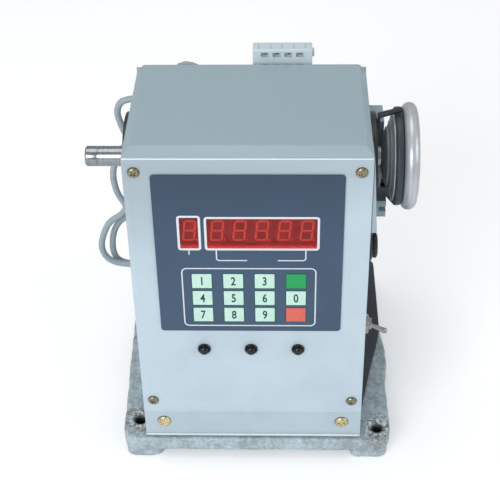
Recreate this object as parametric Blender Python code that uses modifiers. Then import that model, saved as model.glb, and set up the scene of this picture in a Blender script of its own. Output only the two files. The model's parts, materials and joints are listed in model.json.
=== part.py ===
"""A bench coil winding machine.

A cast base carries a sheet metal case with a keypad and digit windows on its front.
A winding spindle runs through the case, with a belt pulley and rim on its right end.
A motor behind the case turns the pulley, and a grey signal cable hangs at the left.
Metres, +Z up, standing on the floor. The operator looks along +Y.
"""

import math

import bmesh
import bpy
from mathutils import Matrix, Vector

MM = 0.001

# Driving dimensions
CASE_WIDTH = 137 * MM
CASE_DEPTH = 94.5 * MM
CASE_HEIGHT = 217.3 * MM
BASE_WIDTH = 177 * MM
BASE_DEPTH = 189 * MM
BASE_THICK = 10 * MM
FOOT_HEIGHT = 7 * MM
SPINDLE_DIAMETER = 12 * MM
SPINDLE_OVERHANG = 27.5 * MM
RIM_DIAMETER = 62.4 * MM
BELT_DIAMETER = 57.2 * MM
CABLE_DIAMETER = 4.3 * MM

# Sheet, clearances and cutting
SHEET = 1.2 * MM
PANEL_THICK = 1.5 * MM
CLEARANCE = 0.3 * MM
OVERRUN = 2 * MM
WELD = 0.00001

# Where the machine stands
BASE_FRONT_LIP = 3 * MM
BUTTON_REACH = 4 * MM
FRONT_Y = (BUTTON_REACH + BASE_FRONT_LIP - BASE_DEPTH) / 2
BASE_FRONT_Y = FRONT_Y - BASE_FRONT_LIP
BASE_TOP = FOOT_HEIGHT + BASE_THICK

# Case
HALF_WIDTH = CASE_WIDTH / 2
SPINDLE_REACH = HALF_WIDTH + SPINDLE_OVERHANG
CASE_BOTTOM = BASE_TOP + CLEARANCE
CASE_TOP = CASE_BOTTOM + CASE_HEIGHT
CASE_REAR = FRONT_Y + CASE_DEPTH
FRONT_BEND_DEPTH = 5.5 * MM
FRONT_BEND_DROP = 4.6 * MM
TOP_BEND_RADIUS = 2 * MM
FLANGE_WIDTH_SHARE = 0.1314
FLANGE_WIDTH = FLANGE_WIDTH_SHARE * CASE_WIDTH
LIP_Z = CASE_TOP - FRONT_BEND_DROP
FLANGE_FRONT = FRONT_Y + PANEL_THICK + CLEARANCE
FLANGE_BACK = FLANGE_FRONT + SHEET
SIDE_REAR = CASE_REAR - PANEL_THICK - CLEARANCE
REAR_FLANGE_FRONT = SIDE_REAR - SHEET
INNER_HALF_WIDTH = HALF_WIDTH - SHEET
FLOOR_THICK = 1.5 * MM
FLOOR_TOP = CASE_BOTTOM + FLOOR_THICK

# Front panel and the skirt below it
PANEL_REVEAL = 0.4 * MM
SKIRT_HEIGHT = 20.1 * MM
SKIRT_LIFT = 0.9 * MM
SEAM = 0.35 * MM
PANEL_TOP = LIP_Z - PANEL_REVEAL
SKIRT_BOTTOM = CASE_BOTTOM + SKIRT_LIFT
SKIRT_TOP = SKIRT_BOTTOM + SKIRT_HEIGHT
PANEL_BOTTOM = SKIRT_TOP + SEAM
PANEL_BACK = FRONT_Y + PANEL_THICK

# Panel and skirt screws
SCREW_HEAD_DIAMETER = 7.4 * MM
SKIRT_HEAD_DIAMETER = 8.4 * MM
SCREW_HEAD_HEIGHT = 1.9 * MM
SCREW_SHANK_DIAMETER = 4 * MM
SCREW_LENGTH = 6.5 * MM
CROSS_WIDTH = 1.1 * MM
CROSS_SPAN = 3.8 * MM
CROSS_DEPTH = 0.9 * MM
CROSS_TURN = math.radians(12)
PANEL_SCREW_INSET = 6.4 * MM
PANEL_SCREW_TOP_INSET = 9 * MM
PANEL_SCREW_BOTTOM_INSET = 10.2 * MM
SKIRT_SCREW_INSET = 12.1 * MM
SKIRT_SCREW_SHARE = 0.58
SKIRT_SCREW_Z = SKIRT_BOTTOM + SKIRT_SCREW_SHARE * SKIRT_HEIGHT
HEAD_FLAT_SHARE = 0.6
HEAD_SHOULDER_SHARES = (0.92, 0.6)

# Keypad membrane and its windows
MEMBRANE_THICK = 0.5 * MM
MEMBRANE_SIDE_MARGIN = 15.1 * MM
MEMBRANE_WIDTH = CASE_WIDTH - 2 * MEMBRANE_SIDE_MARGIN
MEMBRANE_HEIGHT = 112 * MM
MEMBRANE_DROP = 10.2 * MM
MEMBRANE_CORNER = 2 * MM
MEMBRANE_BACK = FRONT_Y - CLEARANCE
MEMBRANE_FRONT = MEMBRANE_BACK - MEMBRANE_THICK
MEMBRANE_TOP = PANEL_TOP - MEMBRANE_DROP
WINDOW_HEIGHT = 21 * MM
WINDOW_DROP = 39.7 * MM
WINDOW_Z = MEMBRANE_TOP - WINDOW_DROP
SMALL_WINDOW_X = -33.6 * MM
SMALL_WINDOW_WIDTH = 10.5 * MM
LARGE_WINDOW_X = 7.5 * MM
LARGE_WINDOW_WIDTH = 62.2 * MM
KEY_WIDTH = 11.4 * MM
KEY_HEIGHT = 10.3 * MM
KEY_RISE = 0.3 * MM
KEY_COLUMN_PITCH = 18.2 * MM
KEY_ROW_PITCH = 12.7 * MM
KEYS_X = -0.4 * MM
KEYS_DROP = 86.4 * MM
KEYS_Z = MEMBRANE_TOP - KEYS_DROP
KEY_COLUMNS = 4
KEY_ROWS = 3

# Digit display behind the windows
FILTER_THICK = 2.6 * MM
FILTER_FRONT = MEMBRANE_FRONT
FILTER_BACK = FILTER_FRONT + FILTER_THICK
DIGIT_WIDTH = 12.2 * MM
DIGIT_HEIGHT = 19 * MM
DIGIT_DEPTH = 8 * MM
DIGIT_PITCH = 12.7 * MM
DIGIT_LIFT = 2.35 * MM
DIGIT_Z = WINDOW_Z + DIGIT_LIFT
DIGIT_FRONT = FILTER_BACK + CLEARANCE
DIGIT_BACK = DIGIT_FRONT + DIGIT_DEPTH
MAIN_DIGITS = 5
BOARD_THICK = 1.6 * MM
BOARD_WIDTH_SHARE = 0.343
BOARD_HALF_WIDTH = BOARD_WIDTH_SHARE * CASE_WIDTH
BOARD_HALF_HEIGHT = 16 * MM
BOARD_FRONT = DIGIT_BACK + CLEARANCE
BOARD_BACK = BOARD_FRONT + BOARD_THICK
STANDOFF_ACROSS = 5 * MM
STANDOFF_INSET = 3.5 * MM

# Push buttons
BUTTON_PITCH = 28.35 * MM
BUTTON_DROP = 137.2 * MM
BUTTON_Z = PANEL_TOP - BUTTON_DROP
PLUNGER_RADIUS = 2.8 * MM
PLUNGER_DOME = 0.8 * MM
PLUNGER_TRAVEL = 2 * MM
BEZEL_RADIUS = 3.9 * MM
BEZEL_BARREL_WALL = 0.4 * MM
BEZEL_RISE = 1.2 * MM
BUTTON_BODY_RADIUS = 5 * MM
BUTTON_BODY_DEPTH = 10 * MM
BUTTON_BODY_FLOOR = 1 * MM
BARREL_BORE = PLUNGER_RADIUS + CLEARANCE
BARREL_RADIUS = BARREL_BORE + BEZEL_BARREL_WALL

# Spindle, its bearings and flanges
SPINDLE_RADIUS = SPINDLE_DIAMETER / 2
SPINDLE_CHAMFER = 1 * MM
SPINDLE_Y = FRONT_Y + CASE_DEPTH / 2
SPINDLE_DROP = 34.1 * MM
SPINDLE_Z = CASE_TOP - SPINDLE_DROP
SPINDLE_RIGHT_SET_IN = 1.5 * MM
DISC_RADIUS = 26 * MM
LEFT_DISC_THICK = 2.7 * MM
RIGHT_DISC_THICK = 3.8 * MM
DISC_BEVEL = 0.6 * MM
BOSS_WALL = 3 * MM
BEARING_RADIUS = 16 * MM
BEARING_WIDTH = 10 * MM
BEARING_LIP = 0.8 * MM
BEARING_SHIELD_DEPTH = 0.6 * MM
BEARING_RACE = 3 * MM
DISC_SEAT = HALF_WIDTH + CLEARANCE
BOSS_RADIUS = BEARING_RADIUS + BOSS_WALL
BOSS_HOLE_RADIUS = BOSS_RADIUS + CLEARANCE
SHAFT_BORE_RADIUS = SPINDLE_RADIUS + CLEARANCE

# Pulley and rim on the spindle
PULLEY_GAP = 3.3 * MM
PULLEY_LEFT = DISC_SEAT + RIGHT_DISC_THICK + PULLEY_GAP
HUB_RADIUS = 8 * MM
CONE_RADIUS = 26 * MM
CONE_SHARES = ((0, 0), (0.5, 0.47), (0.44, 0.55), (0.69, 0.74), (0.65, 0.80), (0.96, 0.95), (1, 1))
BELT_WIDTH = 4.2 * MM
BELT_THICK = 3.7 * MM
BELT_ALONG_SHARE = 0.35323
BELT_LEFT = PULLEY_LEFT + BELT_ALONG_SHARE * (SPINDLE_REACH - PULLEY_LEFT)
BELT_RADIUS = BELT_DIAMETER / 2
GROOVE_RADIUS = BELT_RADIUS - BELT_THICK - CLEARANCE
GROOVE_LEFT = BELT_LEFT - CLEARANCE
GROOVE_RIGHT = BELT_LEFT + BELT_WIDTH + CLEARANCE
CONE_SHOULDER = 0.5 * MM
CONE_LENGTH = GROOVE_LEFT - CONE_SHOULDER - PULLEY_LEFT
RIM_RADIUS = RIM_DIAMETER / 2
RIM_RIGHT = SPINDLE_REACH
RIM_WIDTH = RIM_RIGHT - GROOVE_RIGHT
RIM_WALL = 5 * MM
DISH_DEPTH = 4.5 * MM
RIM_HUB_RADIUS = 11 * MM
SET_SCREW_RADIUS = 1.5 * MM
SET_SCREW_LENGTH = 3.6 * MM
SET_SCREW_X = RIM_RIGHT - DISH_DEPTH / 2

# Bearing bracket on the right wall
BRACKET_THICK = 3.2 * MM
BRACKET_BAND = 10 * MM
BRACKET_GAP = 2 * CLEARANCE
BRACKET_FRONT_STEP = 1 * MM
BRACKET_ARM_TOP_DROP = 3 * MM
BRACKET_ARM_BELOW = 21.3 * MM
BRACKET_ARM_TIP = 0.3 * MM
BRACKET_START = math.radians(-165)
BRACKET_END = math.radians(22)
BRACKET_FRONT_Y = FRONT_Y + BRACKET_FRONT_STEP
BRACKET_ARM_TOP = LIP_Z - BRACKET_ARM_TOP_DROP
BRACKET_ARM_BOTTOM = SPINDLE_Z - BRACKET_ARM_BELOW
RIB_OVER_DISC = 4.1 * MM
RIB_WIDTH = 5.7 * MM
RIB_RISE = 11.5 * MM
RIB_DROP = 28.5 * MM
RIB_LAP = 7 * MM
RIB_BEHIND = 12 * MM
KNUCKLE_REACH = 8 * MM
KNUCKLE_DEPTH = 14 * MM
KNUCKLE_GAP = 1 * MM
KNUCKLE_TOP = SPINDLE_Z - DISC_RADIUS - KNUCKLE_GAP
KNUCKLE_HEIGHT = 11.4 * MM
KNUCKLE_SLOT_WIDTH = 3 * MM
KNUCKLE_SLOT_DEPTH = 4 * MM
PLATE_LEFT = HALF_WIDTH + CLEARANCE

# Counter sensor arm over the pulley
ARM_WIDTH = 3.4 * MM
ARM_THICK = 2 * MM
ARM_FOOT_THICK = 1.5 * MM
ARM_FOOT_HEIGHT = 8 * MM
ARM_RISE = 4 * MM
ARM_UNDER_BELT = 0.2 * MM
ARM_TOP_AT_DISC = SPINDLE_Z + BELT_RADIUS - ARM_UNDER_BELT
ARM_LEFT = DISC_SEAT + RIGHT_DISC_THICK + CLEARANCE
ARM_SHORT_OF_RIM = 1 * MM
ARM_RIGHT = GROOVE_RIGHT - ARM_SHORT_OF_RIM

# Toggle switch on the right wall
TOGGLE_SETBACK = 14 * MM
TOGGLE_DROP = 133.9 * MM
TOGGLE_Y = FRONT_Y + TOGGLE_SETBACK
TOGGLE_Z = CASE_TOP - TOGGLE_DROP
TOGGLE_PIVOT_OUT = 1.8 * MM
TOGGLE_PIVOT_X = HALF_WIDTH + TOGGLE_PIVOT_OUT
TOGGLE_REST_ANGLE = math.radians(26.8)
TOGGLE_BUSH_RADIUS = 3.6 * MM
TOGGLE_BUSH_BORE = 3 * MM
TOGGLE_BUSH_OUT = 4.5 * MM
TOGGLE_BUSH_END = HALF_WIDTH + TOGGLE_BUSH_OUT
TOGGLE_BODY_DEPTH = 12 * MM
TOGGLE_BODY_WIDTH = 13 * MM
TOGGLE_BODY_HEIGHT = 8 * MM
TOGGLE_NUT_ACROSS = 11 * MM
TOGGLE_NUT_THICK = 2.4 * MM
LEVER_BALL_RADIUS = 2 * MM
LEVER_BALL_SHARE = 0.7
LEVER_ROOT_RADIUS = 1.1 * MM
LEVER_TIP_RADIUS = 1.8 * MM
LEVER_LENGTH = 14 * MM
TOGGLE_HOLE_RADIUS = TOGGLE_BUSH_RADIUS + CLEARANCE

# Fuse holder on the right wall
FUSE_SETBACK = 14 * MM
FUSE_DROP = 73.8 * MM
FUSE_Y = FRONT_Y + FUSE_SETBACK
FUSE_Z = CASE_TOP - FUSE_DROP
FUSE_FLANGE_RADIUS = 9.4 * MM
FUSE_FLANGE_THICK = 2.2 * MM
FUSE_BODY_RADIUS = 6 * MM
FUSE_BODY_LENGTH = 18 * MM
FUSE_BORE_RADIUS = 4 * MM
FUSE_BORE_DEPTH = 12 * MM
FUSE_CAP_RADIUS = 7.4 * MM
FUSE_CAP_THICK = 2.4 * MM
FUSE_CAP_SLOT_WIDTH = 1.2 * MM
FUSE_CAP_SLOT_DEPTH = 1 * MM
FUSE_CAP_TOP_SHARE = 0.9
FUSE_CAP_SLOT_SHARE = 0.6
FUSE_HOLE_RADIUS = FUSE_BODY_RADIUS + CLEARANCE

# Base casting
BASE_CORNER = 10 * MM
BASE_EDGE = 1.2 * MM
BASE_REAR_RIGHT_SHARE = 0.492
BASE_REAR_RIGHT = BASE_REAR_RIGHT_SHARE * BASE_WIDTH
BASE_OUTLINE_SHARES = (
    (-0.471, 0),
    (-0.484, 0.34),
    (-0.4926, 0.62),
    (-0.4926, 1),
    (BASE_REAR_RIGHT_SHARE, 1),
    (BASE_REAR_RIGHT_SHARE, 0.58),
    (0.508, 0.45),
    (0.508, 0.376),
    (0.4966, 0.3),
    (0.4994, 0),
)
PAD_SIZE = 24 * MM
PAD_CORNER = 5 * MM
PAD_CENTRE_X_SHARES = (-0.397, 0.421)
PAD_CENTRE_Y_SHARES = (0.071, 0.924)
BASE_HOLE_RADIUS = 2.75 * MM
SPOT_RADIUS = 4.8 * MM
SPOT_DEPTH = 0.8 * MM
BASE_HOLE_SHARES = ((-0.418, 0.093), (0.4508, 0.0593), (-0.4463, 0.955), (0.4508, 0.955))

# Rubber mat behind and beside the case
MAT_THICK = 2 * MM
MAT_SIDE_MARGIN = 0.3 * MM
MAT_WING = BASE_REAR_RIGHT - MAT_SIDE_MARGIN - HALF_WIDTH - CLEARANCE
MAT_REAR_MARGIN = 2 * MM
MAT_WING_SHARES = ((0, 0.17), (0.187, 0.335), (0.566, 0.695), (0.83, 0.91), (1, 1.08))
MAT_BOTTOM = BASE_TOP + CLEARANCE
MAT_TOP = MAT_BOTTOM + MAT_THICK

# Motor behind the case
MOTOR_GAP = 5.75 * MM
MOTOR_DROP = 64 * MM
MOTOR_RADIUS = 30 * MM
MOTOR_LENGTH = 66 * MM
MOTOR_BELL = 7 * MM
MOTOR_BELL_STEP = 1.5 * MM
MOTOR_EDGE = 2 * MM
MOTOR_BOSS_RADIUS = 11 * MM
MOTOR_SHAFT_RADIUS = 4 * MM
MOTOR_PULLEY_BELT_RADIUS = 14.5 * MM
MOTOR_FLANGE_RISE = 2.5 * MM
MOTOR_PULLEY_HUB_RADIUS = 7.5 * MM
MOTOR_PULLEY_HUB_LENGTH = 4 * MM
MOTOR_Y = CASE_REAR + MOTOR_GAP + MOTOR_RADIUS
MOTOR_Z = SPINDLE_Z - MOTOR_DROP
MOTOR_PLATE_THICK = 3 * MM
MOTOR_PLATE_GAP = 1.5 * MM
MOTOR_PLATE_LEFT = HALF_WIDTH + MOTOR_PLATE_GAP
MOTOR_PLATE_RIGHT = MOTOR_PLATE_LEFT + MOTOR_PLATE_THICK
MOTOR_FACE = MOTOR_PLATE_LEFT - CLEARANCE
MOTOR_FOOT_LENGTH = 50 * MM
MOTOR_PLATE_HALF_TOP = 30 * MM
MOTOR_PLATE_HALF_FOOT = 34 * MM
MOTOR_PLATE_ABOVE = 27 * MM
MOTOR_GROOVE_RADIUS = MOTOR_PULLEY_BELT_RADIUS - BELT_THICK - CLEARANCE
FLANGE_LIP = 1.6 * MM

# Rear panel fittings
GLAND_PLACE_SHARES = (-0.146, 0.28854)
GLAND_X = GLAND_PLACE_SHARES[0] * CASE_WIDTH
GLAND_Z = CASE_BOTTOM + GLAND_PLACE_SHARES[1] * CASE_HEIGHT
GLAND_FLANGE_RADIUS = 7 * MM
GLAND_FLANGE_THICK = 2.5 * MM
GLAND_NECK_RADIUS = 5.5 * MM
GLAND_TIP_RADIUS = 3.6 * MM
GLAND_LENGTH = 8.5 * MM
GLAND_BODY_RADIUS = 4.7 * MM
GLAND_BODY_LENGTH = 8 * MM
INLET_PLACE_SHARES = (0.24088, 0.20709)
INLET_X = INLET_PLACE_SHARES[0] * CASE_WIDTH
INLET_Z = CASE_BOTTOM + INLET_PLACE_SHARES[1] * CASE_HEIGHT
INLET_WIDTH = 30 * MM
INLET_HEIGHT = 22 * MM
INLET_RIM = 2.5 * MM
INLET_BODY_MARGIN = 2 * MM
INLET_WALL = 2 * MM
INLET_DEPTH = 16 * MM
PIN_WIDTH = 2 * MM
PIN_HEIGHT = 4 * MM
PIN_PITCH = 7 * MM
PIN_ROOT = 1 * MM

# Wire connector standing behind the case top
CONNECTOR_LEFT = 0.9 * MM
CONNECTOR_WIDTH = 35.6 * MM
CONNECTOR_DEPTH = 10 * MM
CONNECTOR_HEIGHT = 26 * MM
CONNECTOR_ABOVE_CASE = 7.7 * MM
CONNECTOR_GAP = 3.5 * MM
CONNECTOR_EDGE = 0.6 * MM
WAY_PITCH = 7 * MM
WAY_WIDTH = 4.2 * MM
WAY_HEIGHT = 2.6 * MM
WAY_DEPTH = 0.8 * MM
WAY_ROW_PITCH = 7.6 * MM
WAY_FIRST_ROW_DROP = 3.4 * MM
WAY_COLUMNS = 4
WAY_ROWS = 2
CLIP_WIDTH = 1.2 * MM
CLIP_HEIGHT = 4 * MM
CLIP_DEPTH = 4 * MM
HOLDER_THICK = 1.5 * MM
HOLDER_HEIGHT = 14 * MM
HOLDER_SHELF = 1.5 * MM
CONNECTOR_RIGHT = CONNECTOR_LEFT + CONNECTOR_WIDTH
CONNECTOR_TOP = CASE_TOP + CONNECTOR_ABOVE_CASE
CONNECTOR_BOTTOM = CONNECTOR_TOP - CONNECTOR_HEIGHT
CONNECTOR_FRONT = CASE_REAR + CONNECTOR_GAP
CONNECTOR_REAR = CONNECTOR_FRONT + CONNECTOR_DEPTH
CABLE_END_X = CONNECTOR_LEFT + CONNECTOR_WIDTH / 2
CABLE_END_Y = CONNECTOR_FRONT + CONNECTOR_DEPTH / 2

# Inside the case
TRANSFORMER_WIDTH = 48 * MM
TRANSFORMER_DEPTH = 40 * MM
TRANSFORMER_HEIGHT = 40 * MM
TRANSFORMER_CORE_SHARE = 0.62
TRANSFORMER_COIL_SHARE = 0.7
TRANSFORMER_PLACE_SHARES = (-0.248, 0.508)
TRANSFORMER_X = TRANSFORMER_PLACE_SHARES[0] * CASE_WIDTH
TRANSFORMER_Y = FRONT_Y + TRANSFORMER_PLACE_SHARES[1] * CASE_DEPTH
BOARD_SIZE_SHARES = (0.336, 0.656)
BOARD_PLACE_SHARES = (0.2336, 0.529)
BOARD_WIDTH = BOARD_SIZE_SHARES[0] * CASE_WIDTH
BOARD_DEPTH = BOARD_SIZE_SHARES[1] * CASE_DEPTH
BOARD_X = BOARD_PLACE_SHARES[0] * CASE_WIDTH
BOARD_Y = FRONT_Y + BOARD_PLACE_SHARES[1] * CASE_DEPTH
BOARD_LIFT = 6 * MM
BOARD_FOOT = 5 * MM
CHIP_SPREAD_SHARE = 0.8
CHIP_WIDTH = 12 * MM
CHIP_LENGTH = 30 * MM
CHIP_HEIGHT = 5 * MM

# Cable route between the gland and the connector, as it hangs: a share of the case's width,
# cable diameters behind the case, and a share of the case's height
HOOK_PLACE_SHARES = (-0.292, 2.442, 0.97377)
CABLE_ROUTE_SHARES = (
    (-0.165, 4.302, 0.28578),
    (-0.2774, 4.814, 0.26645),
    (-0.4526, 4.07, 0.24344),
    (-0.6131, 3.837, 0.2462),
    (-0.6891, 3.837, 0.26461),
    (-0.7095, 3.837, 0.31615),
    (-0.6861, 3.837, 0.38702),
    (-0.6175, 3.837, 0.43028),
    (-0.4453, 3.698, 0.44317),
    (-0.3372, 3.279, 0.37138),
    (-0.3942, 2.721, 0.2913),
    (-0.5474, 2.442, 0.26645),
    (-0.6847, 2.442, 0.27105),
    (-0.7445, 2.442, 0.30143),
    (-0.7533, 2.442, 0.35205),
    (-0.7109, 2.442, 0.422),
    (-0.6423, 2.442, 0.45881),
    (-0.619, 2.442, 0.48919),
    (-0.6526, 2.442, 0.53889),
    (-0.6642, 2.442, 0.60423),
    (-0.6365, 2.442, 0.66958),
    (-0.5825, 2.442, 0.72112),
    (-0.6029, 2.442, 0.77451),
    (-0.6161, 2.442, 0.81868),
    (-0.5971, 2.442, 0.8509),
    (-0.5518, 2.442, 0.86286),
    (-0.4526, 2.442, 0.87299),
    (-0.3752, 2.442, 0.92637),
    HOOK_PLACE_SHARES,
    (-0.1606, 2.628, 0.92821),
    (-0.0219, 2.581, 0.85458),
    (0.1095, 2.116, 0.86194),
)
CABLE_STRETCH_STEPS = 2
HOOK_DIAMETER = 2 * MM
HOOK_FOOT_RADIUS = 4 * MM
HOOK_FOOT_THICK = 1.5 * MM
HOOK_FOOT_DROP = 9 * MM
HOOK_BEND_SHARES = ((-1, -1.5), (-0.3, -1.05), (0.5, -0.95), (1, -0.4), (1.1, 0))

# How finely round shapes are turned
FINE_STEPS = 32
ROUND_STEPS = 20
SMALL_STEPS = 12
CORNER_STEPS = 4
SMOOTH_ANGLE = math.radians(35)

# Colours: red, green, blue, then roughness and metallic
FINISHES = {
    "hammered_paint": ((0.33, 0.39, 0.42), 0.45, 0.2),
    "case_paint": ((0.32, 0.41, 0.44), 0.4, 0.1),
    "panel_paint": ((0.48, 0.60, 0.68), 0.35, 0.1),
    "membrane_film": ((0.055, 0.09, 0.15), 0.4, 0.0),
    "red_filter": ((0.32, 0.015, 0.02), 0.15, 0.0),
    "black_plastic": ((0.015, 0.017, 0.02), 0.45, 0.0),
    "black_paint": ((0.02, 0.023, 0.026), 0.5, 0.2),
    "circuit_green": ((0.02, 0.16, 0.07), 0.5, 0.0),
    "digit_grey": ((0.10, 0.03, 0.03), 0.5, 0.0),
    "bright_steel": ((0.62, 0.63, 0.64), 0.22, 1.0),
    "bearing_steel": ((0.50, 0.50, 0.50), 0.3, 1.0),
    "polished_aluminium": ((0.70, 0.73, 0.75), 0.25, 1.0),
    "zinc_screw": ((0.50, 0.44, 0.30), 0.35, 1.0),
    "brass_screw": ((0.78, 0.66, 0.38), 0.35, 1.0),
    "belt_rubber": ((0.022, 0.027, 0.033), 0.6, 0.0),
    "mat_rubber": ((0.028, 0.033, 0.04), 0.8, 0.0),
    "motor_paint": ((0.09, 0.10, 0.11), 0.45, 0.2),
    "cable_grey": ((0.36, 0.42, 0.44), 0.5, 0.0),
    "nylon_white": ((0.60, 0.68, 0.72), 0.4, 0.0),
    "transformer_core": ((0.16, 0.15, 0.14), 0.6, 0.4),
    "galvanised": ((0.45, 0.47, 0.48), 0.4, 0.9),
}


# Scene, collections and materials

def clear_scene():
    for thing in list(bpy.data.objects):
        bpy.data.objects.remove(thing, do_unlink=True)


def new_collection(name):
    group = bpy.data.collections.new(name)
    bpy.context.scene.collection.children.link(group)
    return group


def make_material(name):
    colour, roughness, metallic = FINISHES[name]
    finish = bpy.data.materials.new(name)
    finish.use_nodes = True
    shader = finish.node_tree.nodes["Principled BSDF"]
    shader.inputs["Base Color"].default_value = (*colour, 1)
    shader.inputs["Roughness"].default_value = roughness
    shader.inputs["Metallic"].default_value = metallic
    finish.diffuse_color = (*colour, 1)
    return finish


def link_piece(name, data, finish, place=(0, 0, 0)):
    """An object in the machine's collection, or among the cutters when it has no finish."""
    piece = bpy.data.objects.new(name, data)
    piece.location = place
    if finish:
        PARTS.objects.link(piece)
        data.materials.append(MATERIALS[finish])
    else:
        CUTTERS.objects.link(piece)
        piece.hide_render = True
        piece.display_type = "WIRE"
    return piece


# Shapes

def make_box(name, low, high, finish=None):
    """A box between two opposite corners."""
    size = Vector(high) - Vector(low)
    mesh = bpy.data.meshes.new(name)
    shape = bmesh.new()
    bmesh.ops.create_cube(shape, size=1, matrix=Matrix.Diagonal((*size, 1)))
    shape.to_mesh(mesh)
    shape.free()
    return link_piece(name, mesh, finish, (Vector(low) + Vector(high)) / 2)


def smooth_mesh(piece):
    piece.data.shade_smooth()
    piece.data.set_sharp_from_angle(angle=SMOOTH_ANGLE)


def made_mesh(source, finish):
    """The evaluated source as a plain mesh object under the same name."""
    bpy.context.view_layer.update()
    evaluated = source.evaluated_get(bpy.context.evaluated_depsgraph_get())
    mesh = bpy.data.meshes.new_from_object(evaluated)
    mesh.materials.clear()
    welded = bmesh.new()
    welded.from_mesh(mesh)
    bmesh.ops.remove_doubles(welded, verts=welded.verts, dist=WELD)
    welded.to_mesh(mesh)
    welded.free()
    name = source.name
    matrix = source.matrix_world.copy()
    bpy.data.objects.remove(source, do_unlink=True)
    piece = link_piece(name, mesh, finish)
    piece.matrix_world = matrix
    smooth_mesh(piece)
    return piece


AXIS_TURNS = {"X": (0, math.pi / 2, 0), "Y": (-math.pi / 2, 0, 0), "Z": (0, 0, 0)}


def make_turned(name, outline, axis, place, finish=None, steps=ROUND_STEPS):
    """A turned solid. The outline lists radius and distance along the axis, from the low
    end up the outer side, and back down the bore when there is one."""
    points = [(radius, 0, along) for radius, along in reversed(outline)]
    edges = [(i, i + 1) for i in range(len(points) - 1)]
    if outline[0][0] > 0:
        edges.append((len(points) - 1, 0))
    mesh = bpy.data.meshes.new(name)
    mesh.from_pydata(points, edges, [])
    piece = bpy.data.objects.new(name, mesh)
    bpy.context.scene.collection.objects.link(piece)
    piece.location = place
    piece.rotation_euler = AXIS_TURNS[axis]
    screw = piece.modifiers.new("Turning", "SCREW")
    screw.axis = "Z"
    screw.steps = steps
    screw.render_steps = steps
    screw.use_merge_vertices = True
    screw.merge_threshold = WELD
    return made_mesh(piece, finish)


def make_cylinder(name, radius, low, high, axis, place, finish=None, steps=ROUND_STEPS):
    outline = [(0, low), (radius, low), (radius, high), (0, high)]
    return make_turned(name, outline, axis, place, finish, steps)


FLAT_FRAMES = {
    "X": Matrix(((0, 0, 1), (1, 0, 0), (0, 1, 0))),
    "Y": Matrix(((1, 0, 0), (0, 0, -1), (0, 1, 0))),
    "Z": Matrix.Identity(3),
}


def make_plate(name, loops, axis, low, high, finish=None):
    """Flat outlines, the first with the others as holes, extruded along an axis.

    An outline lists y and z across X, x and z across Y, or x and y across Z."""
    curve = bpy.data.curves.new(name, "CURVE")
    curve.dimensions = "2D"
    curve.fill_mode = "BOTH"
    curve.extrude = (high - low) / 2
    for loop in loops:
        spline = curve.splines.new("POLY")
        spline.points.add(len(loop) - 1)
        spline.use_cyclic_u = True
        for point, (across, up) in zip(spline.points, loop):
            point.co = (across, up, 0, 1)
    piece = bpy.data.objects.new(name, curve)
    bpy.context.scene.collection.objects.link(piece)
    middle = Vector([(low + high) / 2 if letter == axis else 0 for letter in "XYZ"])
    piece.matrix_world = Matrix.Translation(middle) @ FLAT_FRAMES[axis].to_4x4()
    return made_mesh(piece, finish)


def make_tube(name, points, diameter, finish, resolution=2):
    """A round wire through the points, with closed ends."""
    curve = bpy.data.curves.new(name, "CURVE")
    curve.dimensions = "3D"
    curve.bevel_depth = diameter / 2
    curve.bevel_resolution = resolution
    curve.use_fill_caps = True
    spline = curve.splines.new("POLY")
    spline.points.add(len(points) - 1)
    for point, place in zip(spline.points, points):
        point.co = (*place, 1)
    piece = bpy.data.objects.new(name, curve)
    bpy.context.scene.collection.objects.link(piece)
    return made_mesh(piece, finish)


def combine(piece, other, operation):
    """A lasting Boolean between a piece and a tool, which joins the cutters."""
    boolean = piece.modifiers.new(other.name, "BOOLEAN")
    boolean.operation = operation
    boolean.solver = "EXACT"
    boolean.object = other


def cut(piece, *tools):
    for tool in tools:
        combine(piece, tool, "DIFFERENCE")


def join(piece, *tools):
    for tool in tools:
        combine(piece, tool, "UNION")


def bevel_edges(piece, width, segments=1):
    bevel = piece.modifiers.new("Edges", "BEVEL")
    bevel.width = width
    bevel.segments = segments
    bevel.limit_method = "ANGLE"
    bevel.angle_limit = SMOOTH_ANGLE


# Outlines

def rounded(corners, radius, steps=CORNER_STEPS):
    """The corners of an outline, each replaced by an arc of the radius."""
    points = []
    count = len(corners)
    for i, corner in enumerate(corners):
        here = Vector(corner)
        back = (Vector(corners[i - 1]) - here).normalized()
        ahead = (Vector(corners[(i + 1) % count]) - here).normalized()
        half_angle = back.angle(ahead) / 2
        centre = here + (back + ahead).normalized() * radius / math.sin(half_angle)
        start = here + back * radius / math.tan(half_angle) - centre
        end = here + ahead * radius / math.tan(half_angle) - centre
        sweep = math.atan2(start.cross(end), start.dot(end))
        for step in range(steps + 1):
            turn = Matrix.Rotation(sweep * step / steps, 2)
            points.append(tuple(centre + turn @ start))
    return points


def rectangle(left, right, bottom, top):
    return [(left, bottom), (right, bottom), (right, top), (left, top)]


def regular_outline(across_flats, sides, centre):
    """A regular polygon of the size across its flats."""
    radius = across_flats / 2 / math.cos(math.pi / sides)
    turns = [2 * math.pi * (i + 0.5) / sides for i in range(sides)]
    return [(centre[0] + radius * math.cos(a), centre[1] + radius * math.sin(a)) for a in turns]


def cross_outline(span, width, lean):
    """A plus sign turned by an angle, for a screw's recess."""
    far = span / 2
    near = width / 2
    quarter = [(far, -near), (far, near), (near, near)]
    points = []
    for turn in range(4):
        across = Matrix.Rotation(lean + turn * math.pi / 2, 2)
        points += [tuple(across @ Vector(point)) for point in quarter]
    return points


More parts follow.
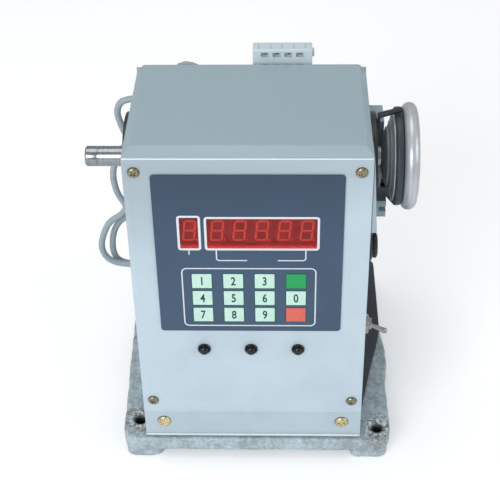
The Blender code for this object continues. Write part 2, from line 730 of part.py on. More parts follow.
def belt_outline(large, small, offset, steps):
    """The line round two wheels: large at the origin and small at the offset."""
    distance = math.hypot(*offset)
    towards = math.atan2(offset[1], offset[0])
    lean = math.acos((large - small) / distance)
    points = []
    for step in range(steps + 1):
        angle = towards + lean + (2 * math.pi - 2 * lean) * step / steps
        points.append((large * math.cos(angle), large * math.sin(angle)))
    for step in range(steps // 2 + 1):
        angle = towards - lean + 2 * lean * step * 2 / steps
        x = offset[0] + small * math.cos(angle)
        points.append((x, offset[1] + small * math.sin(angle)))
    return points


def moved(outline, offset):
    return [(x + offset[0], y + offset[1]) for x, y in outline]


# Base and mat

def base_point(share):
    """A point of the base's top from its shares of the width and depth."""
    return (share[0] * BASE_WIDTH, BASE_FRONT_Y + share[1] * BASE_DEPTH)


def pad_outline(x_share, y_share):
    x, y = base_point((x_share, y_share))
    half = PAD_SIZE / 2
    return rounded(rectangle(x - half, x + half, y - half, y + half), PAD_CORNER)


def build_base():
    corners = [base_point(share) for share in BASE_OUTLINE_SHARES]
    outline = rounded(corners, BASE_CORNER)
    base = make_plate("base_casting", [outline], "Z", FOOT_HEIGHT, BASE_TOP, "hammered_paint")
    bevel_edges(base, BASE_EDGE)
    for x_share in PAD_CENTRE_X_SHARES:
        for y_share in PAD_CENTRE_Y_SHARES:
            pad = pad_outline(x_share, y_share)
            top = FOOT_HEIGHT + BASE_THICK / 2
            join(base, make_plate("pad", [pad], "Z", 0, top))
    for share in BASE_HOLE_SHARES:
        place = (*base_point(share), 0)
        low = -OVERRUN
        high = BASE_TOP + OVERRUN
        hole = make_cylinder("hole", BASE_HOLE_RADIUS, low, high, "Z", place, steps=SMALL_STEPS)
        floor = BASE_TOP - SPOT_DEPTH
        spot = make_cylinder("spot", SPOT_RADIUS, floor, high, "Z", place)
        cut(base, hole, spot)


def build_mat():
    wall = HALF_WIDTH + CLEARANCE
    wing = [(wall + x * MAT_WING, FRONT_Y + y * CASE_DEPTH) for x, y in MAT_WING_SHARES]
    rear = BASE_FRONT_Y + BASE_DEPTH - MAT_REAR_MARGIN
    front = CASE_REAR + CLEARANCE
    back = [(wing[-1][0], rear), (-HALF_WIDTH, rear), (-HALF_WIDTH, front), (wall, front)]
    make_plate("rubber_mat", [wing + back], "Z", MAT_BOTTOM, MAT_TOP, "mat_rubber")


# Case

def cover_side_view():
    """The cover from the side: the bent front edge, flat top, and both sheet edges."""
    points = []
    for step in range(CORNER_STEPS + 1):
        angle = math.pi / 2 * step / CORNER_STEPS
        y = FRONT_Y + FRONT_BEND_DEPTH * (1 - math.cos(angle))
        points.append((y, LIP_Z + FRONT_BEND_DROP * math.sin(angle)))
    top_inside = CASE_TOP - SHEET
    rear = [(CASE_REAR, CASE_TOP), (CASE_REAR, top_inside), (SIDE_REAR, top_inside)]
    front = [(SIDE_REAR, CASE_BOTTOM), (FLANGE_FRONT, CASE_BOTTOM), (FLANGE_FRONT, LIP_Z)]
    return points + rear + front


def cover_front_view():
    """The cover from the front: two sides and a top, with rounded bends."""
    corners = rectangle(-HALF_WIDTH, HALF_WIDTH, CASE_BOTTOM - OVERRUN, CASE_TOP)
    bottom = corners[:2]
    top = rounded(corners, TOP_BEND_RADIUS)[2 * (CORNER_STEPS + 1):]
    return bottom + top


def build_cover():
    side_view = cover_side_view()
    cover = make_plate("top_cover", [side_view], "X", -HALF_WIDTH, HALF_WIDTH, "case_paint")
    front = FRONT_Y - OVERRUN
    rear = CASE_REAR + OVERRUN
    bends = make_plate("cover_bends", [cover_front_view()], "Y", front, rear)
    combine(cover, bends, "INTERSECT")
    below = CASE_BOTTOM - OVERRUN
    low = (-INNER_HALF_WIDTH, FLANGE_BACK, below)
    high = (INNER_HALF_WIDTH, REAR_FLANGE_FRONT, CASE_TOP - SHEET)
    cavity = make_box("cover_cavity", low, high)
    opening = HALF_WIDTH - FLANGE_WIDTH
    under_lip = LIP_Z - FLANGE_WIDTH / 2
    low = (-opening, front, below)
    front_opening = make_box("front_opening", low, (opening, FLANGE_BACK + OVERRUN, under_lip))
    low = (-opening, REAR_FLANGE_FRONT - OVERRUN, below)
    rear_opening = make_box("rear_opening", low, (opening, rear, under_lip))
    cut(cover, cavity, front_opening, rear_opening)
    cut_side_holes(cover)
    for x, z in panel_screw_places() + skirt_screw_places():
        cut(cover, screw_hole(x, z))


def cut_side_holes(cover):
    spindle = (0, SPINDLE_Y, SPINDLE_Z)
    width = HALF_WIDTH + OVERRUN
    bearings = make_cylinder("bearing_holes", BOSS_HOLE_RADIUS, -width, width, "X", spindle,
                             steps=FINE_STEPS)
    toggle = (0, TOGGLE_Y, TOGGLE_Z)
    switch = make_cylinder("toggle_hole", TOGGLE_HOLE_RADIUS, 0, width, "X", toggle)
    fuse = (0, FUSE_Y, FUSE_Z)
    holder = make_cylinder("fuse_hole", FUSE_HOLE_RADIUS, 0, width, "X", fuse)
    cut(cover, bearings, switch, holder)


def build_floor():
    half = INNER_HALF_WIDTH - CLEARANCE
    low = (-half, FLANGE_BACK + CLEARANCE, CASE_BOTTOM)
    high = (half, REAR_FLANGE_FRONT - CLEARANCE, FLOOR_TOP)
    make_box("chassis_floor", low, high, "galvanised")


def build_rear_panel():
    low = (-HALF_WIDTH, CASE_REAR - PANEL_THICK, CASE_BOTTOM)
    high = (HALF_WIDTH, CASE_REAR, CASE_TOP - SHEET - CLEARANCE)
    panel = make_box("rear_panel", low, high, "case_paint")
    gland = (GLAND_X, CASE_REAR, GLAND_Z)
    radius = GLAND_BODY_RADIUS + CLEARANCE
    deep = PANEL_THICK + OVERRUN
    hole = make_cylinder("gland_hole", radius, -deep, OVERRUN, "Y", gland)
    wide = INLET_WIDTH / 2 - INLET_BODY_MARGIN + CLEARANCE
    tall = INLET_HEIGHT / 2 - INLET_BODY_MARGIN + CLEARANCE
    low = (INLET_X - wide, CASE_REAR - deep, INLET_Z - tall)
    high = (INLET_X + wide, CASE_REAR + OVERRUN, INLET_Z + tall)
    cut(panel, hole, make_box("inlet_hole", low, high))


# Front panel and skirt

def panel_screw_places():
    x = HALF_WIDTH - PANEL_SCREW_INSET
    top = PANEL_TOP - PANEL_SCREW_TOP_INSET
    bottom = PANEL_BOTTOM + PANEL_SCREW_BOTTOM_INSET
    return [(-x, top), (x, top), (-x, bottom), (x, bottom)]


def skirt_screw_places():
    x = HALF_WIDTH - SKIRT_SCREW_INSET
    return [(-x, SKIRT_SCREW_Z), (x, SKIRT_SCREW_Z)]


def button_places():
    return [(turn * BUTTON_PITCH, BUTTON_Z) for turn in (-1, 0, 1)]


def screw_hole(x, z):
    """A cutter for a screw's shank through the panel and the flange behind it."""
    radius = SCREW_SHANK_DIAMETER / 2 + CLEARANCE
    place = (x, FRONT_Y, z)
    deep = FLANGE_BACK - FRONT_Y + OVERRUN
    return make_cylinder("screw_hole", radius, -OVERRUN, deep, "Y", place, steps=SMALL_STEPS)


def window_box(name, x, width, margin, finish=None, front=None, back=None):
    """A window's box, or with a margin the cutter that lets it through."""
    front = FRONT_Y - OVERRUN if front is None else front
    back = PANEL_BACK + OVERRUN if back is None else back
    half = width / 2 + margin
    tall = WINDOW_HEIGHT / 2 + margin
    low = (x - half, front, WINDOW_Z - tall)
    return make_box(name, low, (x + half, back, WINDOW_Z + tall), finish)


def cut_windows(piece):
    small = window_box("small_window", SMALL_WINDOW_X, SMALL_WINDOW_WIDTH, CLEARANCE)
    large = window_box("large_window", LARGE_WINDOW_X, LARGE_WINDOW_WIDTH, CLEARANCE)
    cut(piece, small, large)


def build_front_panel():
    low = (-HALF_WIDTH, FRONT_Y, PANEL_BOTTOM)
    high = (HALF_WIDTH, PANEL_BACK, PANEL_TOP)
    panel = make_box("front_panel", low, high, "panel_paint")
    cut_windows(panel)
    for x, z in panel_screw_places():
        cut(panel, screw_hole(x, z))
    radius = BARREL_RADIUS + CLEARANCE
    for x, z in button_places():
        place = (x, FRONT_Y, z)
        deep = PANEL_THICK + OVERRUN
        hole = make_cylinder("button_hole", radius, -OVERRUN, deep, "Y", place)
        cut(panel, hole)


def build_skirt():
    low = (-HALF_WIDTH, FRONT_Y, SKIRT_BOTTOM)
    high = (HALF_WIDTH, PANEL_BACK, SKIRT_TOP)
    skirt = make_box("skirt_plate", low, high, "panel_paint")
    for x, z in skirt_screw_places():
        cut(skirt, screw_hole(x, z))


def build_screw(name, x, z, head_diameter, finish):
    """A pan head screw with a cross recess, its head just clear of the panel."""
    head = head_diameter / 2
    shank = SCREW_SHANK_DIAMETER / 2
    shoulder, shoulder_rise = HEAD_SHOULDER_SHARES
    outline = [
        (0, -SCREW_HEAD_HEIGHT),
        (head * HEAD_FLAT_SHARE, -SCREW_HEAD_HEIGHT),
        (head * shoulder, -SCREW_HEAD_HEIGHT * shoulder_rise),
        (head, 0),
        (shank, 0),
        (shank, SCREW_LENGTH),
        (0, SCREW_LENGTH),
    ]
    face = FRONT_Y - CLEARANCE
    screw = make_turned(name, outline, "Y", (x, face, z), finish, SMALL_STEPS)
    top = face - SCREW_HEAD_HEIGHT
    cross = moved(cross_outline(CROSS_SPAN, CROSS_WIDTH, CROSS_TURN), (x, z))
    recess = make_plate("cross", [cross], "Y", top - OVERRUN, top + CROSS_DEPTH)
    cut(screw, recess)


def build_screws():
    for number, (x, z) in enumerate(panel_screw_places(), 1):
        build_screw(f"panel_screw_{number}", x, z, SCREW_HEAD_DIAMETER, "zinc_screw")
    for number, (x, z) in enumerate(skirt_screw_places(), 1):
        build_screw(f"skirt_screw_{number}", x, z, SKIRT_HEAD_DIAMETER, "brass_screw")


# Keypad and display

def build_membrane():
    half = MEMBRANE_WIDTH / 2
    corners = rectangle(-half, half, MEMBRANE_TOP - MEMBRANE_HEIGHT, MEMBRANE_TOP)
    outline = rounded(corners, MEMBRANE_CORNER)
    membrane = make_plate(
        "keypad_membrane", [outline], "Y", MEMBRANE_FRONT, MEMBRANE_BACK, "membrane_film")
    cut_windows(membrane)
    for row in range(KEY_ROWS):
        for column in range(KEY_COLUMNS):
            x = KEYS_X + (column - (KEY_COLUMNS - 1) / 2) * KEY_COLUMN_PITCH
            z = KEYS_Z - (row - (KEY_ROWS - 1) / 2) * KEY_ROW_PITCH
            low = (x - KEY_WIDTH / 2, MEMBRANE_FRONT - KEY_RISE, z - KEY_HEIGHT / 2)
            middle = (MEMBRANE_FRONT + MEMBRANE_BACK) / 2
            high = (x + KEY_WIDTH / 2, middle, z + KEY_HEIGHT / 2)
            join(membrane, make_box("key", low, high))


def build_filters():
    ends = {"front": FILTER_FRONT, "back": FILTER_BACK}
    window_box("display_filter_small", SMALL_WINDOW_X, SMALL_WINDOW_WIDTH, 0, "red_filter", **ends)
    window_box("display_filter_large", LARGE_WINDOW_X, LARGE_WINDOW_WIDTH, 0, "red_filter", **ends)


def build_digits():
    places = [SMALL_WINDOW_X]
    places += [LARGE_WINDOW_X + (i - (MAIN_DIGITS - 1) / 2) * DIGIT_PITCH for i in range(MAIN_DIGITS)]
    for number, x in enumerate(places, 1):
        low = (x - DIGIT_WIDTH / 2, DIGIT_FRONT, DIGIT_Z - DIGIT_HEIGHT / 2)
        high = (x + DIGIT_WIDTH / 2, DIGIT_BACK, DIGIT_Z + DIGIT_HEIGHT / 2)
        make_box(f"digit_module_{number}", low, high, "digit_grey")


def build_display_board():
    low = (-BOARD_HALF_WIDTH, BOARD_FRONT, DIGIT_Z - BOARD_HALF_HEIGHT)
    high = (BOARD_HALF_WIDTH, BOARD_BACK, DIGIT_Z + BOARD_HALF_HEIGHT)
    make_box("display_board", low, high, "circuit_green")
    x = BOARD_HALF_WIDTH - STANDOFF_INSET
    z = BOARD_HALF_HEIGHT - STANDOFF_INSET
    corners = [(-x, z), (x, z), (-x, -z), (x, -z)]
    front = PANEL_BACK + CLEARANCE
    back = BOARD_FRONT - CLEARANCE
    for number, (side, up) in enumerate(corners, 1):
        hexagon = regular_outline(STANDOFF_ACROSS, 6, (side, DIGIT_Z + up))
        make_plate(f"panel_standoff_{number}", [hexagon], "Y", front, back, "galvanised")


# Push buttons

def build_button(number, x, z):
    """A round bezel with its switch body behind the panel, and the plunger inside."""
    face = FRONT_Y - CLEARANCE
    behind = PANEL_BACK + CLEARANCE - face
    body_end = behind + BUTTON_BODY_DEPTH
    bezel = [
        (0, body_end - BUTTON_BODY_FLOOR),
        (BARREL_BORE, body_end - BUTTON_BODY_FLOOR),
        (BARREL_BORE, -BEZEL_RISE),
        (BEZEL_RADIUS, -BEZEL_RISE),
        (BEZEL_RADIUS, 0),
        (BARREL_RADIUS, 0),
        (BARREL_RADIUS, behind),
        (BUTTON_BODY_RADIUS, behind),
        (BUTTON_BODY_RADIUS, body_end),
        (0, body_end),
    ]
    make_turned(f"button_bezel_{number}", bezel, "Y", (x, face, z), "black_plastic")
    tip = FRONT_Y - BUTTON_REACH - face
    tail = body_end - BUTTON_BODY_FLOOR - CLEARANCE - PLUNGER_TRAVEL
    plunger = [
        (0, tip),
        (PLUNGER_RADIUS - PLUNGER_DOME, tip),
        (PLUNGER_RADIUS, tip + PLUNGER_DOME),
        (PLUNGER_RADIUS, tail),
        (0, tail),
    ]
    make_turned(f"button_plunger_{number}", plunger, "Y", (x, face, z), "black_plastic")


def build_buttons():
    for number, (x, z) in enumerate(button_places(), 1):
        build_button(number, x, z)


# Spindle, bearings and pulley

def build_spindle():
    left = -SPINDLE_REACH
    right = SPINDLE_REACH - SPINDLE_RIGHT_SET_IN
    shoulder = SPINDLE_RADIUS - SPINDLE_CHAMFER
    outline = [
        (0, left),
        (shoulder, left),
        (SPINDLE_RADIUS, left + SPINDLE_CHAMFER),
        (SPINDLE_RADIUS, right - SPINDLE_CHAMFER),
        (shoulder, right),
        (0, right),
    ]
    place = (0, SPINDLE_Y, SPINDLE_Z)
    return make_turned("spindle", outline, "X", place, "bright_steel", FINE_STEPS)


def build_flange(name, side, disc_thick):
    """A bearing flange: the disc outside the wall and a boss through it for the bearing."""
    outer = DISC_SEAT + disc_thick
    lip = outer - BEARING_LIP
    inner = lip - CLEARANCE - BEARING_WIDTH
    bore = BEARING_RADIUS + CLEARANCE
    outline = [
        (bore, inner),
        (BOSS_RADIUS, inner),
        (BOSS_RADIUS, DISC_SEAT),
        (DISC_RADIUS, DISC_SEAT),
        (DISC_RADIUS, outer - DISC_BEVEL),
        (DISC_RADIUS - DISC_BEVEL, outer),
        (BEARING_RADIUS - BEARING_RACE, outer),
        (BEARING_RADIUS - BEARING_RACE, lip),
        (bore, lip),
    ]
    build_on_side(name, side, outline, "black_paint", FINE_STEPS)
    right = lip - CLEARANCE
    left = right - BEARING_WIDTH
    shield_low = left + BEARING_SHIELD_DEPTH
    shield_high = right - BEARING_SHIELD_DEPTH
    outer_race = BEARING_RADIUS - BEARING_RACE
    inner_race = SHAFT_BORE_RADIUS + BEARING_RACE
    bearing = [
        (SHAFT_BORE_RADIUS, left),
        (inner_race, left),
        (inner_race, shield_low),
        (outer_race, shield_low),
        (outer_race, left),
        (BEARING_RADIUS, left),
        (BEARING_RADIUS, right),
        (outer_race, right),
        (outer_race, shield_high),
        (inner_race, shield_high),
        (inner_race, right),
        (SHAFT_BORE_RADIUS, right),
    ]
    build_on_side(name.replace("flange", "bearing"), side, bearing, "bearing_steel", ROUND_STEPS)


def build_on_side(name, side, outline, finish, steps):
    """A turned piece on the spindle's line, as listed on the right or mirrored to the left."""
    if side < 0:
        outline = [(radius, -along) for radius, along in reversed(outline)]
    place = (0, SPINDLE_Y, SPINDLE_Z)
    make_turned(name, outline, "X", place, finish, steps)


def pulley_outline():
    """The stepped cone, the belt groove, the rounded rim and the dished right face."""
    cone = []
    for radius_share, along_share in CONE_SHARES:
        radius = HUB_RADIUS + radius_share * (CONE_RADIUS - HUB_RADIUS)
        cone.append((radius, PULLEY_LEFT + along_share * CONE_LENGTH))
    groove = [
        (CONE_RADIUS, GROOVE_LEFT),
        (GROOVE_RADIUS, GROOVE_LEFT),
        (GROOVE_RADIUS, GROOVE_RIGHT),
    ]
    rim = []
    for step in range(2 * CORNER_STEPS + 1):
        angle = math.pi * step / (2 * CORNER_STEPS)
        radius = RIM_RADIUS - RIM_WIDTH / 2 * (1 - math.sin(angle))
        rim.append((radius, GROOVE_RIGHT + RIM_WIDTH / 2 * (1 - math.cos(angle))))
    dish = RIM_RIGHT - DISH_DEPTH
    face = [
        (RIM_RADIUS - RIM_WALL - DISH_DEPTH, dish),
        (RIM_HUB_RADIUS, dish),
        (RIM_HUB_RADIUS, RIM_RIGHT),
        (SHAFT_BORE_RADIUS, RIM_RIGHT),
        (SHAFT_BORE_RADIUS, PULLEY_LEFT),
    ]
    return cone + groove + rim + face


def build_pulley(spindle):
    place = (0, SPINDLE_Y, SPINDLE_Z)
    pulley = make_turned("drive_pulley", pulley_outline(), "X", place, "polished_aluminium",
                         FINE_STEPS)
    top = (SET_SCREW_X, SPINDLE_Y, SPINDLE_Z)
    low = SHAFT_BORE_RADIUS - CLEARANCE
    high = RIM_HUB_RADIUS + OVERRUN
    radius = SET_SCREW_RADIUS + CLEARANCE
    cut(pulley, make_cylinder("set_screw_hole", radius, low, high, "Z", top, steps=SMALL_STEPS))
    low = SHAFT_BORE_RADIUS + CLEARANCE
    screw = make_cylinder("pulley_set_screw", SET_SCREW_RADIUS, low, low + SET_SCREW_LENGTH, "Z",
                          top, "black_paint", SMALL_STEPS)
    for piece in (pulley, screw):
        piece.parent = spindle
        piece.matrix_parent_inverse = spindle.matrix_world.inverted()


def build_belt():
    """A flat rubber belt with eased outer corners round both pulleys."""
    offset = (MOTOR_Y - SPINDLE_Y, MOTOR_Z - SPINDLE_Z)
    small = MOTOR_PULLEY_BELT_RADIUS
    centre = (SPINDLE_Y, SPINDLE_Z)
    inner = belt_outline(BELT_RADIUS - BELT_THICK, small - BELT_THICK, offset, FINE_STEPS)
    outer = belt_outline(BELT_RADIUS, small, offset, FINE_STEPS)
    loops = [moved(outer, centre), moved(inner, centre)]
    make_plate("drive_belt", loops, "X", BELT_LEFT, BELT_LEFT + BELT_WIDTH, "belt_rubber")


# Right wall fittings

def build_bearing_bracket():
    """A painted casting round the right flange: a band, a wedge arm, a rib and a knuckle."""
    right = PLATE_LEFT + BRACKET_THICK
    centre = (SPINDLE_Y, SPINDLE_Z)
    bore = DISC_RADIUS + BRACKET_GAP
    reach = bore + BRACKET_BAND
    sector = [centre]
    for step in range(FINE_STEPS + 1):
        angle = BRACKET_START + (BRACKET_END - BRACKET_START) * step / FINE_STEPS
        sector.append((centre[0] + reach * math.cos(angle), centre[1] + reach * math.sin(angle)))
    bracket = make_plate("bearing_bracket", [sector], "X", PLATE_LEFT, right, "case_paint")
    clear = make_cylinder("disc_clearance", bore, DISC_SEAT - OVERRUN, right + OVERRUN, "X",
                          (0, *centre), steps=FINE_STEPS)
    cut(bracket, clear)
    join(bracket, make_bracket_arm(right), make_bracket_rib(), make_knuckle())
    cut(bracket, make_knuckle_slot())


def make_bracket_arm(right):
    """The front arm, which thins out to nothing towards the top."""
    tip = PLATE_LEFT + BRACKET_ARM_TIP
    wedge = [
        (PLATE_LEFT, BRACKET_ARM_BOTTOM),
        (right, BRACKET_ARM_BOTTOM),
        (tip, BRACKET_ARM_TOP),
        (PLATE_LEFT, BRACKET_ARM_TOP),
    ]
    back = SPINDLE_Y - DISC_RADIUS - BRACKET_GAP
    return make_plate("bracket_arm", [wedge], "Y", BRACKET_FRONT_Y, back)


def make_bracket_rib():
    """The rib that stands over the disc's rear edge."""
    root = PLATE_LEFT + SHEET
    left = PLATE_LEFT + RIB_OVER_DISC
    right = left + RIB_WIDTH
    front = SPINDLE_Y + DISC_RADIUS - RIB_LAP
    rear = SPINDLE_Y + DISC_RADIUS + RIB_BEHIND
    behind_disc = SPINDLE_Y + DISC_RADIUS + BRACKET_GAP
    outline = [
        (left, front),
        (right, front),
        (right, rear),
        (root, rear),
        (root, behind_disc),
        (left, behind_disc),
    ]
    return make_plate("bracket_rib", [outline], "Z", SPINDLE_Z - RIB_DROP, SPINDLE_Z + RIB_RISE)


def make_knuckle():
    half = KNUCKLE_DEPTH / 2
    bottom = KNUCKLE_TOP - KNUCKLE_HEIGHT
    low = (PLATE_LEFT + SHEET, SPINDLE_Y - half, bottom)
    high = (PLATE_LEFT + BRACKET_THICK + KNUCKLE_REACH, SPINDLE_Y + half, KNUCKLE_TOP)
    return make_box("bracket_knuckle", low, high)


def make_knuckle_slot():
    right = PLATE_LEFT + BRACKET_THICK + KNUCKLE_REACH
    half = KNUCKLE_DEPTH / 2 + OVERRUN
    middle = KNUCKLE_TOP - KNUCKLE_HEIGHT / 2
    low = (right - KNUCKLE_SLOT_DEPTH, SPINDLE_Y - half, middle - KNUCKLE_SLOT_WIDTH / 2)
    high = (right + OVERRUN, SPINDLE_Y + half, middle + KNUCKLE_SLOT_WIDTH / 2)
    return make_box("knuckle_slot", low, high)


def build_sensor_arm():
    """The black arm from the flange's face, rising to the right over pulley and belt."""
    top = ARM_TOP_AT_DISC
    foot = ARM_LEFT + ARM_FOOT_THICK
    outline = [
        (ARM_LEFT, top - ARM_THICK - ARM_FOOT_HEIGHT),
        (foot, top - ARM_THICK - ARM_FOOT_HEIGHT),
        (foot, top - ARM_THICK),
        (ARM_RIGHT, top - ARM_THICK + ARM_RISE),
        (ARM_RIGHT, top + ARM_RISE),
        (ARM_LEFT, top),
    ]
    low = SPINDLE_Y - ARM_WIDTH / 2
    make_plate("sensor_arm", [outline], "Y", low, low + ARM_WIDTH, "black_plastic")


def build_toggle():
    pivot = Vector((TOGGLE_PIVOT_X, TOGGLE_Y, TOGGLE_Z))
    inside = INNER_HALF_WIDTH - CLEARANCE
    low = (inside - TOGGLE_BODY_DEPTH, TOGGLE_Y - TOGGLE_BODY_WIDTH / 2,
           TOGGLE_Z - TOGGLE_BODY_HEIGHT / 2)
    high = (inside, TOGGLE_Y + TOGGLE_BODY_WIDTH / 2, TOGGLE_Z + TOGGLE_BODY_HEIGHT / 2)
    body = make_box("toggle_body", low, high, "bright_steel")
    line = (0, TOGGLE_Y, TOGGLE_Z)
    bush = make_cylinder("toggle_bush", TOGGLE_BUSH_RADIUS, inside - OVERRUN, TOGGLE_BUSH_END, "X",
                         line)
    floor = TOGGLE_PIVOT_X - LEVER_BALL_RADIUS - CLEARANCE
    bore = make_cylinder("toggle_bore", TOGGLE_BUSH_BORE, floor, TOGGLE_BUSH_END + OVERRUN, "X",
                         line)
    join(body, bush)
    cut(body, bore)
    hexagon = regular_outline(TOGGLE_NUT_ACROSS, 6, (TOGGLE_Y, TOGGLE_Z))
    nut = make_plate("toggle_nut", [hexagon], "X", PLATE_LEFT, PLATE_LEFT + TOGGLE_NUT_THICK,
                     "bright_steel")
    radius = TOGGLE_BUSH_RADIUS + CLEARANCE
    cut(nut, make_cylinder("nut_bore", radius, HALF_WIDTH - OVERRUN, TOGGLE_BUSH_END, "X", line))
    build_lever(pivot)


def build_lever(pivot):
    """The lever, thicker towards its tip, resting in the down position."""
    ball = LEVER_BALL_RADIUS
    neck = math.sqrt(ball ** 2 - LEVER_ROOT_RADIUS ** 2)
    tip_bevel = LEVER_TIP_RADIUS / 2
    outline = [
        (0, -ball),
        (ball * LEVER_BALL_SHARE, -ball * LEVER_BALL_SHARE),
        (ball, 0),
        (LEVER_ROOT_RADIUS, neck),
        (LEVER_TIP_RADIUS, LEVER_LENGTH - LEVER_TIP_RADIUS),
        (LEVER_TIP_RADIUS - tip_bevel / 2, LEVER_LENGTH - tip_bevel / 2),
        (tip_bevel, LEVER_LENGTH),
        (0, LEVER_LENGTH),
    ]
    lever = make_turned("toggle_lever", outline, "Z", pivot, "bright_steel", SMALL_STEPS)
    lever.rotation_euler = (0, math.pi / 2 + TOGGLE_REST_ANGLE, 0)


def build_fuse():
    place = (0, FUSE_Y, FUSE_Z)
    outer = PLATE_LEFT + FUSE_FLANGE_THICK
    inner = PLATE_LEFT - FUSE_BODY_LENGTH
    floor = outer - FUSE_BORE_DEPTH
    holder = [
        (0, inner),
        (FUSE_BODY_RADIUS, inner),
        (FUSE_BODY_RADIUS, PLATE_LEFT),
        (FUSE_FLANGE_RADIUS, PLATE_LEFT),
        (FUSE_FLANGE_RADIUS, outer - FUSE_FLANGE_THICK / 2),
        (FUSE_CAP_RADIUS, outer),
        (FUSE_BORE_RADIUS, outer),
        (FUSE_BORE_RADIUS, floor),
        (0, floor),
    ]
    make_turned("fuse_holder", holder, "X", place, "black_plastic")
    seat = outer + CLEARANCE
    cap_top = seat + FUSE_CAP_THICK
    plug = FUSE_BORE_RADIUS - CLEARANCE
    cap = [
        (0, floor + CLEARANCE),
        (plug, floor + CLEARANCE),
        (plug, seat),
        (FUSE_CAP_RADIUS, seat),
        (FUSE_CAP_RADIUS * FUSE_CAP_TOP_SHARE, cap_top),
        (0, cap_top),
    ]
    piece = make_turned("fuse_cap", cap, "X", place, "black_plastic")
    half = FUSE_CAP_RADIUS * FUSE_CAP_SLOT_SHARE
    low = (cap_top - FUSE_CAP_SLOT_DEPTH, FUSE_Y - half, FUSE_Z - FUSE_CAP_SLOT_WIDTH / 2)
    high = (cap_top + OVERRUN, FUSE_Y + half, FUSE_Z + FUSE_CAP_SLOT_WIDTH / 2)
    cut(piece, make_box("cap_slot", low, high))


# Motor

def build_motor():
    place = (0, MOTOR_Y, MOTOR_Z)
    right = MOTOR_FACE
    left = right - MOTOR_LENGTH
    bell = MOTOR_RADIUS - MOTOR_BELL_STEP
    bore = MOTOR_SHAFT_RADIUS + CLEARANCE
    body = [
        (0, left),
        (bell - MOTOR_EDGE, left),
        (bell, left + MOTOR_EDGE),
        (bell, left + MOTOR_BELL),
        (MOTOR_RADIUS, left + MOTOR_BELL),
        (MOTOR_RADIUS, right - MOTOR_BELL),
        (bell, right - MOTOR_BELL),
        (bell, right),
        (MOTOR_BOSS_RADIUS, right),
        (MOTOR_BOSS_RADIUS, MOTOR_PLATE_RIGHT),
        (bore, MOTOR_PLATE_RIGHT),
        (bore, right - MOTOR_BELL),
        (0, right - MOTOR_BELL),
    ]
    make_turned("motor_body", body, "X", place, "motor_paint")
    shaft_left = right - MOTOR_BELL + CLEARANCE
    shaft_right = GROOVE_RIGHT + FLANGE_LIP
    shaft = make_cylinder("motor_shaft", MOTOR_SHAFT_RADIUS, shaft_left, shaft_right, "X", place,
                          "bright_steel", SMALL_STEPS)
    build_motor_pulley(place, bore, shaft)


def build_motor_pulley(place, bore, shaft):
    flange = MOTOR_PULLEY_BELT_RADIUS + MOTOR_FLANGE_RISE
    left = GROOVE_LEFT - FLANGE_LIP
    right = GROOVE_RIGHT + FLANGE_LIP
    pulley = [
        (bore, left - MOTOR_PULLEY_HUB_LENGTH),
        (MOTOR_PULLEY_HUB_RADIUS, left - MOTOR_PULLEY_HUB_LENGTH),
        (MOTOR_PULLEY_HUB_RADIUS, left),
        (flange, left),
        (flange, GROOVE_LEFT),
        (MOTOR_GROOVE_RADIUS, GROOVE_LEFT),
        (MOTOR_GROOVE_RADIUS, GROOVE_RIGHT),
        (flange, GROOVE_RIGHT),
        (flange, right),
        (bore, right),
    ]
    piece = make_turned("motor_pulley", pulley, "X", place, "polished_aluminium")
    piece.parent = shaft
    piece.matrix_parent_inverse = shaft.matrix_world.inverted()


def build_motor_bracket():
    """A plate across the motor's face on a foot that stands on the mat."""
    foot_low = MAT_TOP + CLEARANCE
    foot_high = foot_low + MOTOR_PLATE_THICK
    top = MOTOR_Z + MOTOR_PLATE_ABOVE
    corners = [
        (MOTOR_Y - MOTOR_PLATE_HALF_FOOT, foot_low),
        (MOTOR_Y + MOTOR_PLATE_HALF_FOOT, foot_low),
        (MOTOR_Y + MOTOR_PLATE_HALF_TOP, top),
        (MOTOR_Y - MOTOR_PLATE_HALF_TOP, top),
    ]
    bracket = make_plate("motor_bracket", [corners], "X", MOTOR_PLATE_LEFT, MOTOR_PLATE_RIGHT,
                         "black_paint")
    low = (MOTOR_PLATE_RIGHT - MOTOR_FOOT_LENGTH, MOTOR_Y - MOTOR_PLATE_HALF_FOOT, foot_low)
    high = (MOTOR_PLATE_LEFT + MOTOR_PLATE_THICK / 2, MOTOR_Y + MOTOR_PLATE_HALF_FOOT, foot_high)
    join(bracket, make_box("motor_foot", low, high))
    radius = MOTOR_BOSS_RADIUS + CLEARANCE
    far = MOTOR_PLATE_RIGHT + OVERRUN
    hole = make_cylinder("boss_hole", radius, MOTOR_FACE, far, "X", (0, MOTOR_Y, MOTOR_Z))
    cut(bracket, hole)


# Rear fittings and cable

def build_gland():
    place = (GLAND_X, CASE_REAR, GLAND_Z)
    seat = CLEARANCE
    neck = seat + GLAND_FLANGE_THICK
    outline = [
        (0, -GLAND_BODY_LENGTH),
        (GLAND_BODY_RADIUS, -GLAND_BODY_LENGTH),
        (GLAND_BODY_RADIUS, seat),
        (GLAND_FLANGE_RADIUS, seat),
        (GLAND_FLANGE_RADIUS, neck),
        (GLAND_NECK_RADIUS, neck),
        (GLAND_TIP_RADIUS, GLAND_LENGTH),
        (0, GLAND_LENGTH),
    ]
    make_turned("cable_gland", outline, "Y", place, "black_plastic")


